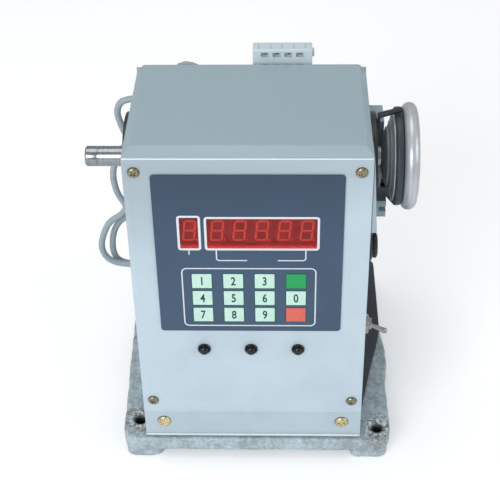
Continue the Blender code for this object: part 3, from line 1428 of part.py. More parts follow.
def build_inlet():
    """A mains inlet with a rim outside the rear panel and three pins in its well."""
    seat = CASE_REAR + CLEARANCE
    wide = INLET_WIDTH / 2
    tall = INLET_HEIGHT / 2
    rear = seat + INLET_RIM
    low = (INLET_X - wide, seat, INLET_Z - tall)
    inlet = make_box("mains_inlet", low, (INLET_X + wide, rear, INLET_Z + tall), "black_plastic")
    wide -= INLET_BODY_MARGIN
    tall -= INLET_BODY_MARGIN
    inner = rear - INLET_DEPTH
    low = (INLET_X - wide, inner, INLET_Z - tall)
    middle = seat + INLET_RIM / 2
    join(inlet, make_box("inlet_body", low, (INLET_X + wide, middle, INLET_Z + tall)))
    wide -= INLET_WALL
    tall -= INLET_WALL
    floor = inner + INLET_WALL
    low = (INLET_X - wide, floor, INLET_Z - tall)
    cut(inlet, make_box("inlet_well", low, (INLET_X + wide, rear + OVERRUN, INLET_Z + tall)))
    for turn in (-1, 0, 1):
        x = INLET_X + turn * PIN_PITCH
        low = (x - PIN_WIDTH / 2, floor - PIN_ROOT, INLET_Z - PIN_HEIGHT / 2)
        high = (x + PIN_WIDTH / 2, seat, INLET_Z + PIN_HEIGHT / 2)
        join(inlet, make_box("pin", low, high))


def build_connector():
    low = (CONNECTOR_LEFT, CONNECTOR_FRONT, CONNECTOR_BOTTOM)
    high = (CONNECTOR_RIGHT, CONNECTOR_REAR, CONNECTOR_TOP)
    block = make_box("wire_connector", low, high, "nylon_white")
    bevel_edges(block, CONNECTOR_EDGE)
    middle = (CONNECTOR_LEFT + CONNECTOR_RIGHT) / 2
    for row in range(WAY_ROWS):
        for column in range(WAY_COLUMNS):
            x = middle + (column - (WAY_COLUMNS - 1) / 2) * WAY_PITCH
            z = CONNECTOR_TOP - WAY_FIRST_ROW_DROP - row * WAY_ROW_PITCH
            low = (x - WAY_WIDTH / 2, CONNECTOR_FRONT - OVERRUN, z - WAY_HEIGHT / 2)
            high = (x + WAY_WIDTH / 2, CONNECTOR_FRONT + WAY_DEPTH, z + WAY_HEIGHT / 2)
            cut(block, make_box("way", low, high))
    y = CONNECTOR_FRONT + CONNECTOR_DEPTH / 2
    z = CONNECTOR_TOP - CLIP_HEIGHT
    low = (CONNECTOR_RIGHT - OVERRUN, y - CLIP_DEPTH / 2, z - CLIP_HEIGHT / 2)
    high = (CONNECTOR_RIGHT + CLIP_WIDTH, y + CLIP_DEPTH / 2, z + CLIP_HEIGHT / 2)
    join(block, make_box("clip", low, high))


def build_connector_holder():
    """A bent tab on the rear panel with a shelf under the connector's front half."""
    seat = CASE_REAR + CLEARANCE
    shelf_top = CONNECTOR_BOTTOM - CLEARANCE
    shelf_low = shelf_top - HOLDER_SHELF
    cable_front = CABLE_END_Y - CABLE_DIAMETER / 2
    outline = [
        (seat, shelf_low - HOLDER_HEIGHT),
        (seat + HOLDER_THICK, shelf_low - HOLDER_HEIGHT),
        (seat + HOLDER_THICK, shelf_low),
        (cable_front - CLEARANCE, shelf_low),
        (cable_front - CLEARANCE, shelf_top),
        (seat, shelf_top),
    ]
    left = CONNECTOR_LEFT + WAY_WIDTH
    right = CONNECTOR_RIGHT - WAY_WIDTH
    make_plate("connector_holder", [outline], "X", left, right, "galvanised")


def behind_case(shares):
    """A point from shares of the case's width and height, and cable diameters behind it."""
    across, behind, up = shares
    y = CASE_REAR + behind * CABLE_DIAMETER
    return Vector((across * CASE_WIDTH, y, CASE_BOTTOM + up * CASE_HEIGHT))


def cable_corners():
    start = Vector((GLAND_X, CASE_REAR + GLAND_LENGTH + CLEARANCE, GLAND_Z))
    end = Vector((CABLE_END_X, CABLE_END_Y, CONNECTOR_BOTTOM - CLEARANCE))
    return [start] + [behind_case(shares) for shares in CABLE_ROUTE_SHARES] + [end]


def smooth_route(spots, steps):
    """Points of a smooth curve through the spots, with a few steps in each stretch."""
    ends = [2 * spots[0] - spots[1]] + spots + [2 * spots[-1] - spots[-2]]
    points = []
    for i in range(1, len(ends) - 2):
        before, start, end, after = ends[i - 1:i + 3]
        for step in range(steps):
            t = step / steps
            bend = 2 * before - 5 * start + 4 * end - after
            turn = 3 * start - before - 3 * end + after
            points.append(start + ((end - before) * t + bend * t ** 2 + turn * t ** 3) / 2)
    points.append(spots[-1])
    return points


def build_cable():
    points = smooth_route(cable_corners(), CABLE_STRETCH_STEPS)
    make_tube("signal_cable", points, CABLE_DIAMETER, "cable_grey")


def build_hook():
    """A wire hook from the rear panel, under and behind the cable where it peaks."""
    reach = CABLE_DIAMETER / 2 + CLEARANCE + HOOK_DIAMETER / 2
    start_y = CASE_REAR + CLEARANCE
    x, y, z = behind_case(HOOK_PLACE_SHARES)
    foot_z = z - HOOK_FOOT_DROP
    points = [(x, start_y, foot_z), (x, y - 2 * reach, foot_z)]
    points += [(x, y + back * reach, z + up * reach) for back, up in HOOK_BEND_SHARES]
    hook = make_tube("cable_hook", points, HOOK_DIAMETER, "galvanised")
    far = start_y + HOOK_FOOT_THICK
    join(hook, make_cylinder("hook_foot", HOOK_FOOT_RADIUS, start_y, far, "Y", (x, 0, foot_z),
                             steps=SMALL_STEPS))


# Inside the case

def build_transformer():
    """A laminated core with its winding standing out at the front and rear."""
    x = TRANSFORMER_X
    y = TRANSFORMER_Y
    low_z = FLOOR_TOP + CLEARANCE
    high_z = low_z + TRANSFORMER_HEIGHT
    half = TRANSFORMER_WIDTH / 2
    deep = TRANSFORMER_DEPTH / 2
    core = deep * TRANSFORMER_CORE_SHARE
    piece = make_box("transformer", (x - half, y - core, low_z), (x + half, y + core, high_z),
                     "transformer_core")
    narrow = half * TRANSFORMER_COIL_SHARE
    inset = TRANSFORMER_HEIGHT * (1 - TRANSFORMER_COIL_SHARE) / 2
    low = (x - narrow, y - deep, low_z + inset)
    join(piece, make_box("winding", low, (x + narrow, y + deep, high_z - inset)))


def build_control_board():
    """The control board on four feet, with two chips."""
    x = BOARD_X
    y = BOARD_Y
    foot_z = FLOOR_TOP + CLEARANCE
    low_z = foot_z + BOARD_LIFT
    high_z = low_z + BOARD_THICK
    half = BOARD_WIDTH / 2
    deep = BOARD_DEPTH / 2
    board = make_box("control_board", (x - half, y - deep, low_z), (x + half, y + deep, high_z),
                     "circuit_green")
    for side in (-1, 1):
        for end in (-1, 1):
            foot_x = x + side * (half - BOARD_FOOT)
            foot_y = y + end * (deep - BOARD_FOOT)
            low = (foot_x - BOARD_FOOT / 2, foot_y - BOARD_FOOT / 2, foot_z)
            high = (foot_x + BOARD_FOOT / 2, foot_y + BOARD_FOOT / 2, low_z + BOARD_THICK / 2)
            join(board, make_box("board_foot", low, high))
        chip_x = x + side * CHIP_WIDTH * CHIP_SPREAD_SHARE
        low = (chip_x - CHIP_WIDTH / 2, y - CHIP_LENGTH / 2, low_z + BOARD_THICK / 2)
        high = (chip_x + CHIP_WIDTH / 2, y + CHIP_LENGTH / 2, high_z + CHIP_HEIGHT)
        join(board, make_box("chip", low, high))


clear_scene()
PARTS = new_collection("coil_winding_machine")
CUTTERS = new_collection("cutters")
MATERIALS = {name: make_material(name) for name in FINISHES}

build_base()
build_mat()
build_cover()
build_floor()
build_rear_panel()
build_front_panel()
build_skirt()
build_screws()
build_membrane()
build_filters()
build_digits()
build_display_board()
build_buttons()
build_pulley(build_spindle())
build_flange("flange_left", -1, LEFT_DISC_THICK)
build_flange("flange_right", 1, RIGHT_DISC_THICK)
build_belt()
build_bearing_bracket()
build_sensor_arm()
build_toggle()
build_fuse()
build_motor()
build_motor_bracket()
build_gland()
build_inlet()
build_connector()
build_connector_holder()
build_cable()
build_hook()
build_transformer()
build_control_board()
bpy.context.view_layer.update()
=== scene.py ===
"""The looks of a bench coil winding machine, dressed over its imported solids.

Each piece or group of like pieces has its own operator, and the colours and sizes that a
user would change are settings of the scene. Metres, +Z up, the operator looks along +Y.
"""

import json
import math

import bmesh
import bpy
from bpy.props import FloatProperty, FloatVectorProperty, IntProperty, PointerProperty
from mathutils import Matrix, Vector, noise


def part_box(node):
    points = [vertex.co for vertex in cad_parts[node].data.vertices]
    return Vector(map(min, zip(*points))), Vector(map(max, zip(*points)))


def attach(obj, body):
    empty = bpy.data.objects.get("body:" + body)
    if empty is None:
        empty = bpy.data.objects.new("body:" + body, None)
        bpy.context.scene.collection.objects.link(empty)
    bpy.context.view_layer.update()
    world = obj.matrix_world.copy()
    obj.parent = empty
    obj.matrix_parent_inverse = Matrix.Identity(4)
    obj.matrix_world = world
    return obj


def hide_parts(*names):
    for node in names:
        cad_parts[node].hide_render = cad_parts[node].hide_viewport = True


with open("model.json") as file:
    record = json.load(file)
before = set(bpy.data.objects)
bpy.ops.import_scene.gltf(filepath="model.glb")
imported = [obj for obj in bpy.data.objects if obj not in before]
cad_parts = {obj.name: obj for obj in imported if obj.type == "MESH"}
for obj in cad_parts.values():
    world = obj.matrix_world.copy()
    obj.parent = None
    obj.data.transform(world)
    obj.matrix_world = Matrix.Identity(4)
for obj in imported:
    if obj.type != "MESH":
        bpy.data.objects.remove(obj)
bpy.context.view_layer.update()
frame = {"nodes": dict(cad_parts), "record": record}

bl_info = {
    "name": "Coil winding machine looks",
    "version": (1, 0, 0),
    "blender": (4, 5, 0),
    "location": "View3D > Sidebar > Coil winder",
    "description": "Builds the looks of a bench coil winding machine, piece by piece",
    "category": "Object",
}

MM = 0.001
SHARP = math.radians(32)
WELD = 1e-6
CLEARANCE = 0.3 * MM
OVERRUN = 3 * MM
SHEET = 1.2 * MM
PANEL_DEPTH = 1.8 * MM
ROUND_STEPS = 64
ARC_STEPS = 6
# Heights over which painted shade darkens the panel and the keypad film towards the top
PAINTED_SHADE_LOW = 150 * MM
PAINTED_SHADE_HIGH = 245 * MM


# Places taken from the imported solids

def low(node):
    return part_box(node)[0]


def high(node):
    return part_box(node)[1]


def middle(node):
    return (low(node) + high(node)) / 2


FRONT_Y = low("front_panel").y
CASE_LOW, CASE_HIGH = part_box("top_cover")
CASE_REAR = high("rear_panel").y
FILM_LOW, FILM_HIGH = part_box("keypad_membrane")
FILM_FRONT = FRONT_Y - 0.8 * MM
KEY_FRONT = FILM_LOW.y
WINDOW_FOOT = low("display_filter_large").z
SPINDLE_LINE = middle("spindle")
MOTOR_LINE = middle("motor_shaft")


def colour(red, green, blue):
    """A colour seen on screen, 0 to 255, as the linear numbers that a shader takes."""
    def linear(value):
        value /= 255
        return value / 12.92 if value <= 0.04045 else ((value + 0.055) / 1.055) ** 2.4
    return (linear(red), linear(green), linear(blue))


def colour_setting(name, description, seen):
    return FloatVectorProperty(name=name, description=description, default=colour(*seen),
                               size=3, min=0, max=1, subtype="COLOR")


def length_setting(name, description, default, least=0.0):
    return FloatProperty(name=name, description=description, default=default, min=least,
                         unit="LENGTH", subtype="DISTANCE", precision=5)


# Settings

class CaseSettings(bpy.types.PropertyGroup):
    """The sheet metal case, its base and its paint."""

    case_paint: colour_setting("Case paint", "Paint of the folded cover", (157, 177, 185))
    panel_paint: colour_setting("Panel paint", "Paint of the front panel", (192, 210, 221))
    skirt_paint: colour_setting("Skirt paint", "Paint of the strip under it", (182, 200, 210))
    # Near white for the sheets' bare edges, and a painted highlight along them
    bare_edge_and_highlight: colour_setting("Bare edge", "Rubbed edges of the sheets", (232, 240, 245))
    base_paint: colour_setting("Base paint", "Paint over the rough casting", (176, 192, 199))
    bend: length_setting("Top bend", "Width of the folded edges along the top", 4.2 * MM)
    lumps: length_setting("Casting lumps", "Height of the lumps on the base", 0.32 * MM)
    grain: length_setting("Casting mesh", "Size of the faces of the base", 1 * MM, 0.75 * MM)


class KeypadSettings(bpy.types.PropertyGroup):
    """The keypad film, its print and its keys."""

    film: colour_setting("Film", "Ground colour of the keypad", (57, 82, 108))
    print_white: colour_setting("Print", "Lines printed on the film", (226, 232, 238))
    key_pale: colour_setting("Pale keys", "Number keys", (200, 238, 222))
    key_green: colour_setting("Green key", "Upper key of the right column", (14, 164, 88))
    key_red: colour_setting("Red key", "Lower key of the right column", (226, 104, 88))
    key_edge: colour_setting("Key border", "Print round every key", (36, 74, 84))
    numeral: length_setting("Numeral height", "Height of the numbers on the keys", 6.0 * MM)


class DisplaySettings(bpy.types.PropertyGroup):
    """The digits behind the red windows."""

    filter_red: colour_setting("Window", "The clear red window", (190, 30, 26))
    segment: colour_setting("Segment", "The bars of a digit", (235, 84, 66))
    digit_height: length_setting("Digit height", "Height of a digit", 14.3 * MM)
    digit_width: length_setting("Digit width", "Width of a digit", 7.4 * MM)
    bar: length_setting("Bar", "Width of a digit's bars", 1.15 * MM)
    drop: length_setting("Drop", "How far the digits stand below their modules' middles",
                         2.2 * MM)
    slant: FloatProperty(name="Slant", description="Lean of the digits",
                         default=math.radians(6), subtype="ANGLE")


class WheelSettings(bpy.types.PropertyGroup):
    """The spindle, its pulley and the belt."""

    steps: IntProperty(name="Turning steps", description="Faces round the turned pieces",
                       default=112, min=24, max=256)
    aluminium: colour_setting("Aluminium", "The turned pulley", (196, 202, 206))
    steel: colour_setting("Steel", "The winding shaft", (158, 163, 168))
    belt: colour_setting("Belt", "The rubber belt", (44, 52, 60))
    ease: length_setting("Edge", "Rounding of turned edges", 0.35 * MM)


class CableSettings(bpy.types.PropertyGroup):
    """The grey signal cable at the left."""

    diameter: length_setting("Diameter", "Outside diameter of the cable", 4.3 * MM)
    sheath: colour_setting("Sheath", "The cable's grey cover", (158, 172, 180))


class StageSettings(bpy.types.PropertyGroup):
    """Floor, lamps and camera."""

    floor: colour_setting("Floor", "The floor's colour", (249, 250, 251))
    floor_lift: FloatProperty(name="Floor lift", description="White added to the seen floor",
                              default=0.24, min=0)
    sky: FloatProperty(name="Sky light", description="Light from all round", default=0.5, min=0)
    key: FloatProperty(name="Front lamp", description="Power of the front lamp", default=15,
                       min=0, unit="POWER")
    fill: FloatProperty(name="Side lamp", description="Power of the side lamp", default=5,
                        min=0, unit="POWER")
    top: FloatProperty(name="Top lamp", description="Power of the top lamp", default=5, min=0,
                       unit="POWER")
    lens: FloatProperty(name="Lens", description="Focal length on a 36 mm film", default=88.57,
                        min=1)


SETTINGS = {
    "winder_case": CaseSettings,
    "winder_keypad": KeypadSettings,
    "winder_display": DisplaySettings,
    "winder_wheel": WheelSettings,
    "winder_cable": CableSettings,
    "winder_stage": StageSettings,
}


# Nodes

class Wire:
    """A socket of a node tree. Sums on it add Math nodes, and node() adds any other."""

    def __init__(self, tree, socket=None):
        self.tree = tree
        self.socket = socket

    def node(self, kind, settings, sockets, output=0):
        """A node of a kind, its settings first, then its sockets' values or links."""
        made = self.tree.nodes.new(kind)
        for name, value in settings.items():
            setattr(made, name, value)
        for key, value in sockets.items():
            if isinstance(value, Wire):
                self.tree.links.new(value.socket, made.inputs[key])
            else:
                made.inputs[key].default_value = value
        return Wire(self.tree, made.outputs[output])

    def maths(self, operation, first, second=0.0):
        return self.node("ShaderNodeMath", {"operation": operation}, {0: first, 1: second})

    def __add__(self, other):
        return self.maths("ADD", self, other)

    def __sub__(self, other):
        return self.maths("SUBTRACT", self, other)

    def __rsub__(self, other):
        return self.maths("SUBTRACT", other, self)

    def __mul__(self, other):
        return self.maths("MULTIPLY", self, other)

    __radd__ = __add__
    __rmul__ = __mul__

    def ramp(self, start, end, to_start=0.0, to_end=1.0):
        """The value from start to end, eased and held at both ends."""
        sockets = {"Value": self, "From Min": start, "From Max": end, "To Min": to_start,
                   "To Max": to_end}
        return self.node("ShaderNodeMapRange", {"interpolation_type": "SMOOTHSTEP"}, sockets)

    def noise(self, scale, detail=3.0, rough=0.5, distortion=0.0):
        sockets = {"Vector": self, "Scale": scale, "Detail": detail, "Roughness": rough,
                   "Distortion": distortion}
        return self.node("ShaderNodeTexNoise", {}, sockets)

    def lines(self, scale, detail=2.0):
        """Noise along one number, as fine turning lines."""
        sockets = {"W": self, "Scale": scale, "Detail": detail}
        return self.node("ShaderNodeTexNoise", {"noise_dimensions": "1D"}, sockets)

    def cells(self, scale, feature="F1"):
        return self.node("ShaderNodeTexVoronoi", {"feature": feature},
                         {"Vector": self, "Scale": scale})

    def part(self, axis):
        return self.node("ShaderNodeSeparateXYZ", {}, {"Vector": self}, axis)

    def blend(self, first, second):
        """Two colours mixed by this value."""
        first, second = (c if isinstance(c, Wire) else (*c, 1) for c in (first, second))
        return self.node("ShaderNodeMix", {"data_type": "RGBA"}, {0: self, 6: first, 7: second}, 2)

    def from_point(self, place):
        """This vector measured from a place."""
        return self.node("ShaderNodeVectorMath", {"operation": "SUBTRACT"}, {0: self, 1: place})

    def stretched(self, scale):
        return self.node("ShaderNodeVectorMath", {"operation": "MULTIPLY"}, {0: self, 1: scale})

    def size(self):
        return self.node("ShaderNodeVectorMath", {"operation": "LENGTH"}, {0: self}, 1)


class Finish:
    """A material under construction: its shader, its object coordinates and its edges."""

    def __init__(self, name, edge=0.35 * MM):
        self.name = name
        self.material = bpy.data.materials.new(name + "_finish")
        self.material.use_nodes = True
        self.shader = self.material.node_tree.nodes["Principled BSDF"]
        self.start = Wire(self.material.node_tree)
        self.spot = self.start.node("ShaderNodeTexCoord", {}, {}, 3)
        self.soft = self.start.node("ShaderNodeBevel", {"samples": 4}, {"Radius": edge})

    def set(self, **values):
        """Shader sockets by name, an underscore standing for a space."""
        for name, value in values.items():
            socket = self.shader.inputs[name.replace("_", " ")]
            if isinstance(value, Wire):
                self.material.node_tree.links.new(value.socket, socket)
            elif isinstance(value, tuple):
                socket.default_value = (*value, 1)
            else:
                socket.default_value = value
        return self

    def edges(self, gain=6.0):
        """1 along sharp outside and inside edges, 0 on flat faces."""
        hard = self.start.node("ShaderNodeNewGeometry", {}, {}, 1)
        same = self.start.node("ShaderNodeVectorMath", {"operation": "DOT_PRODUCT"},
                               {0: self.soft, 1: hard}, 1)
        return ((1 - same) * gain).ramp(0.05, 1.0)

    def bump(self, height, distance):
        """The height as the surface's normal, over the rounded edges."""
        sockets = {"Strength": 1.0, "Distance": distance, "Height": height, "Normal": self.soft}
        return self.set(Normal=self.start.node("ShaderNodeBump", {}, sockets))


def shade(tone, share):
    """A colour made darker below 1 or lighter above it."""
    return tuple(min(1.0, value * share) for value in tone)


# Finishes

def painted(name, tone, gloss=0.38, bare=(0.35, 0.37, 0.38), painted_shade_share=1.0):
    """Sprayed paint on sheet: a fine skin, faint clouds, dust and rubbed edges. A share
    below 1 darkens it towards the top left, as painted shade."""
    made = Finish(name)
    clouds = made.spot.noise(22, 4, 0.6).ramp(0.3, 0.7)
    specks = made.spot.noise(900, 2, 0.6).ramp(0.68, 0.78)
    wear_and_highlight = made.edges() * made.spot.noise(140, 4, 0.7).ramp(0.52, 0.7)
    ground = clouds.blend(shade(tone, 0.95), shade(tone, 1.03))
    # Darker towards the top left: painted shade
    painted_shade = (made.spot.part(2) - made.spot.part(0) * 0.3).ramp(PAINTED_SHADE_LOW, PAINTED_SHADE_HIGH)
    ground = painted_shade.blend(ground, shade(tone, painted_shade_share))
    dusty = (specks * 0.35).blend(ground, shade(tone, 0.72))
    made.set(Base_Color=(wear_and_highlight * 0.6).blend(dusty, bare))
    made.set(Roughness=gloss + clouds * 0.06 + specks * 0.2, Metallic=wear_and_highlight * 0.5)
    made.set(Coat_Weight=0.12, Coat_Roughness=0.25)
    skin = made.spot.noise(420, 3, 0.55) + made.spot.noise(90, 2) * 0.6
    return made.bump(skin, 0.00004)


def hammered(name, tone):
    """Thick paint over a rough sand casting: mottled, painted shade in its bolt holes, bare on
    lumps. Its marks hold pale rims, the holes' painted shade and rust as red, green and blue."""
    made = Finish(name, 0.8 * MM)
    broad = made.spot.noise(60, 5, 0.62, 0.4)
    fine = made.spot.noise(330, 5, 0.68, 0.3)
    pits = made.spot.cells(260).ramp(0.0, 0.45)
    marks = made.start.node("ShaderNodeAttribute", {"attribute_name": "marks"}, {})
    rim, hole_shade, rust = (marks.part(axis) for axis in range(3))
    mottle = (broad * 0.5 + fine * 0.5).ramp(0.4, 0.6)
    ground = mottle.blend(shade(tone, 0.72), shade(tone, 1.16))
    pale = (made.spot.noise(150, 4, 0.7).ramp(0.56, 0.7) * 0.5 + rim * 0.7).ramp(0, 1)
    ground = pale.blend(ground, shade(tone, 1.7))
    stain = made.spot.noise(34, 5, 0.7, 0.8).ramp(0.55, 0.7) * 0.45
    ground = stain.blend(ground, colour(112, 110, 100))
    flecks = made.spot.noise(620, 3, 0.7).ramp(0.62, 0.7)
    ground = (flecks * 0.6).blend(ground, colour(70, 74, 74))
    rusty = rust * made.spot.noise(420, 4, 0.7).ramp(0.45, 0.6)
    ground = rusty.blend(ground, colour(110, 88, 62))
    # Near black inside the bolt holes: painted shade
    made.set(Base_Color=hole_shade.blend(ground, colour(30, 32, 33)))
    made.set(Roughness=0.38 + mottle * 0.18 - pale * 0.14, Metallic=0.05)
    made.set(Coat_Weight=0.3, Coat_Roughness=0.25)
    return made.bump(fine * 0.9 + broad * 0.5 + pits * 0.35, 0.0006)


def turned(name, tone, line, ring_scale, rough, metallic=1.0, depth=0.00001):
    """Turned metal: rings round a line along X, on its faces as on its rims."""
    made = Finish(name, 0.25 * MM)
    place = made.spot.from_point((0, line.y, line.z))
    radius = place.stretched((0, 1, 1)).size()
    along = place.part(0) + radius
    rings = along.lines(ring_scale, 3)
    fine = along.lines(ring_scale * 7, 2)
    smudge = made.spot.noise(70, 4, 0.6).ramp(0.42, 0.68)
    tarnish = made.spot.noise(260, 4, 0.7).ramp(0.6, 0.78)
    ground = rings.ramp(0.35, 0.65).blend(shade(tone, 0.86), shade(tone, 1.06))
    dull = (smudge * 0.35).blend(ground, shade(tone, 0.62))
    made.set(Base_Color=(tarnish * 0.3).blend(dull, shade(tone, 0.45)), Metallic=metallic)
    made.set(Roughness=rough + rings * 0.1 + smudge * 0.06)
    return made.bump(rings * 0.7 + fine * 0.5, depth)


def brushed(name, tone, rough=0.3, stretch=(1, 14, 14), scale=120):
    """Plated or brushed metal with faint streaks and fingerprints."""
    made = Finish(name, 0.3 * MM)
    streaks = made.spot.stretched(stretch).noise(scale, 4, 0.65)
    smudge = made.spot.noise(90, 4, 0.6).ramp(0.45, 0.7)
    ground = streaks.ramp(0.3, 0.7).blend(shade(tone, 0.82), shade(tone, 1.08))
    made.set(Base_Color=(smudge * 0.35).blend(ground, shade(tone, 0.6)), Metallic=1.0)
    made.set(Roughness=rough + streaks * 0.12 + smudge * 0.1)
    return made.bump(streaks, 0.00003)


def plated(name, tone, rough=0.33):
    """A plated screw: cloudy colour, grime in its recess and bright edges."""
    made = Finish(name, 0.3 * MM)
    clouds = made.spot.noise(420, 4, 0.65).ramp(0.35, 0.7)
    grime = made.spot.noise(900, 3, 0.7).ramp(0.56, 0.75)
    ground = clouds.blend(shade(tone, 0.72), shade(tone, 1.15))
    dirty = (grime * 0.5).blend(ground, shade(tone, 0.25))
    edge = made.edges(5) * 0.5
    made.set(Base_Color=edge.blend(dirty, (0.82, 0.80, 0.74)), Metallic=0.9)
    made.set(Roughness=rough + grime * 0.25)
    return made.bump(clouds + grime * 0.5, 0.00003)


def moulded(name, tone, rough=0.42, worn=1.35):
    """Moulded plastic: a fine grain, dust, and edges rubbed paler."""
    made = Finish(name, 0.3 * MM)
    fine = made.spot.noise(900, 3, 0.6)
    dust = made.spot.noise(110, 5, 0.7).ramp(0.5, 0.75)
    edge = made.edges(4) * made.spot.noise(300, 3).ramp(0.4, 0.7)
    lift = tuple(value * worn + 0.01 for value in tone)
    ground = (dust * 0.3).blend(tone, lift)
    made.set(Base_Color=(edge * 0.6).blend(ground, tuple(v * 1.3 + 0.02 for v in lift)))
    made.set(Roughness=rough + dust * 0.15 - fine * 0.08)
    return made.bump(fine, 0.00002)


def rubber(name, tone, grain=500, depth=0.00012, rough=0.62):
    """Rubber with a coarse grain, chalky in places."""
    made = Finish(name, 0.4 * MM)
    fine = made.spot.noise(grain, 4, 0.7)
    bloom = made.spot.noise(60, 5, 0.7).ramp(0.45, 0.75)
    pale = tuple(value * 1.7 + 0.02 for value in tone)
    made.set(Base_Color=(bloom * 0.5 + fine * 0.15).blend(tone, pale))
    made.set(Roughness=rough + bloom * 0.15)
    return made.bump(fine, depth)


def film(name, tone):
    """Printed polyester film with a faint texture, scuffs and a satin skin."""
    made = Finish(name, 0.15 * MM)
    cloud = made.spot.noise(30, 3, 0.6).ramp(0.3, 0.7)
    scuff = made.spot.stretched((1, 1, 5)).noise(260, 4, 0.75).ramp(0.63, 0.75)
    ground = cloud.blend(shade(tone, 0.93), shade(tone, 1.06))
    # Darker towards the top: painted shade, as on the panel
    ground = made.spot.part(2).ramp(PAINTED_SHADE_LOW, PAINTED_SHADE_HIGH).blend(ground, shade(tone, 0.6))
    made.set(Base_Color=(scuff * 0.12).blend(ground, shade(tone, 2.2)))
    made.set(Roughness=0.36 + cloud * 0.08 + scuff * 0.15)
    return made.bump(made.spot.noise(1500, 2), 0.00001)


def ink(name, tone):
    """Printed ink, a little uneven."""
    made = Finish(name, 0.05 * MM)
    patch = made.spot.noise(700, 3, 0.6).ramp(0.3, 0.75)
    made.set(Base_Color=patch.blend(shade(tone, 0.92), shade(tone, 1.03)))
    made.set(Roughness=0.45 + patch * 0.08)
    return made.bump(patch, 0.000008)


def clear_red(name, tone):
    """A clear red window, its lower edge catching light as a thick pane does."""
    made = Finish(name, 0.1 * MM)
    haze = made.spot.noise(120, 4, 0.6).ramp(0.35, 0.75)
    foot = 1 - made.spot.part(2).ramp(WINDOW_FOOT, WINDOW_FOOT + 3.5 * MM)
    ground = haze.blend(shade(tone, 0.8), shade(tone, 1.1))
    made.set(Base_Color=foot.blend(ground, shade(tone, 1.9)))
    made.set(Alpha=0.30 + haze * 0.05 + foot * 0.45)
    made.set(Roughness=0.10 + haze * 0.06, Coat_Weight=0.3, Coat_Roughness=0.05)
    return made.bump(haze, 0.00001)


def glowing(name, tone):
    """A digit's bar: tinted resin with a faint glow of painted light, so that its colour shows in
    the shade of the window.
    """
    made = Finish(name, 0.1 * MM)
    patch = made.spot.noise(800, 3, 0.6).ramp(0.3, 0.7)
    tint = patch.blend(shade(tone, 0.85), shade(tone, 1.1))
    # A faint glow as painted light: the bars are no lamps
    made.set(Base_Color=tint, Emission_Color=tint, Emission_Strength=0.35)
    made.set(Roughness=0.35 + patch * 0.1)
    return made.bump(patch, 0.00001)


def circuit(name, tone):
    """A printed board: tracks under green lacquer."""
    made = Finish(name, 0.1 * MM)
    tracks = made.spot.stretched((1, 1, 0.6)).cells(330, "DISTANCE_TO_EDGE").ramp(0.05, 0.09)
    cloud = made.spot.noise(50, 3).ramp(0.3, 0.7)
    ground = cloud.blend(shade(tone, 0.8), shade(tone, 1.15))
    made.set(Base_Color=tracks.blend(shade(tone, 1.9), ground), Roughness=0.3 + cloud * 0.15)
    made.set(Coat_Weight=0.3, Coat_Roughness=0.2)
    return made.bump(tracks, 0.00003)


def laminated(name, tone):
    """A transformer's stacked sheets, varnished."""
    made = Finish(name, 0.2 * MM)
    sheets = made.spot.part(1).lines(1600, 1)
    varnish = made.spot.noise(120, 4, 0.7).ramp(0.4, 0.7)
    ground = sheets.ramp(0.4, 0.6).blend(shade(tone, 0.6), shade(tone, 1.3))
    made.set(Base_Color=(varnish * 0.4).blend(ground, colour(96, 58, 30)))
    made.set(Roughness=0.35 + sheets * 0.2, Metallic=0.3)
    return made.bump(sheets, 0.0001)


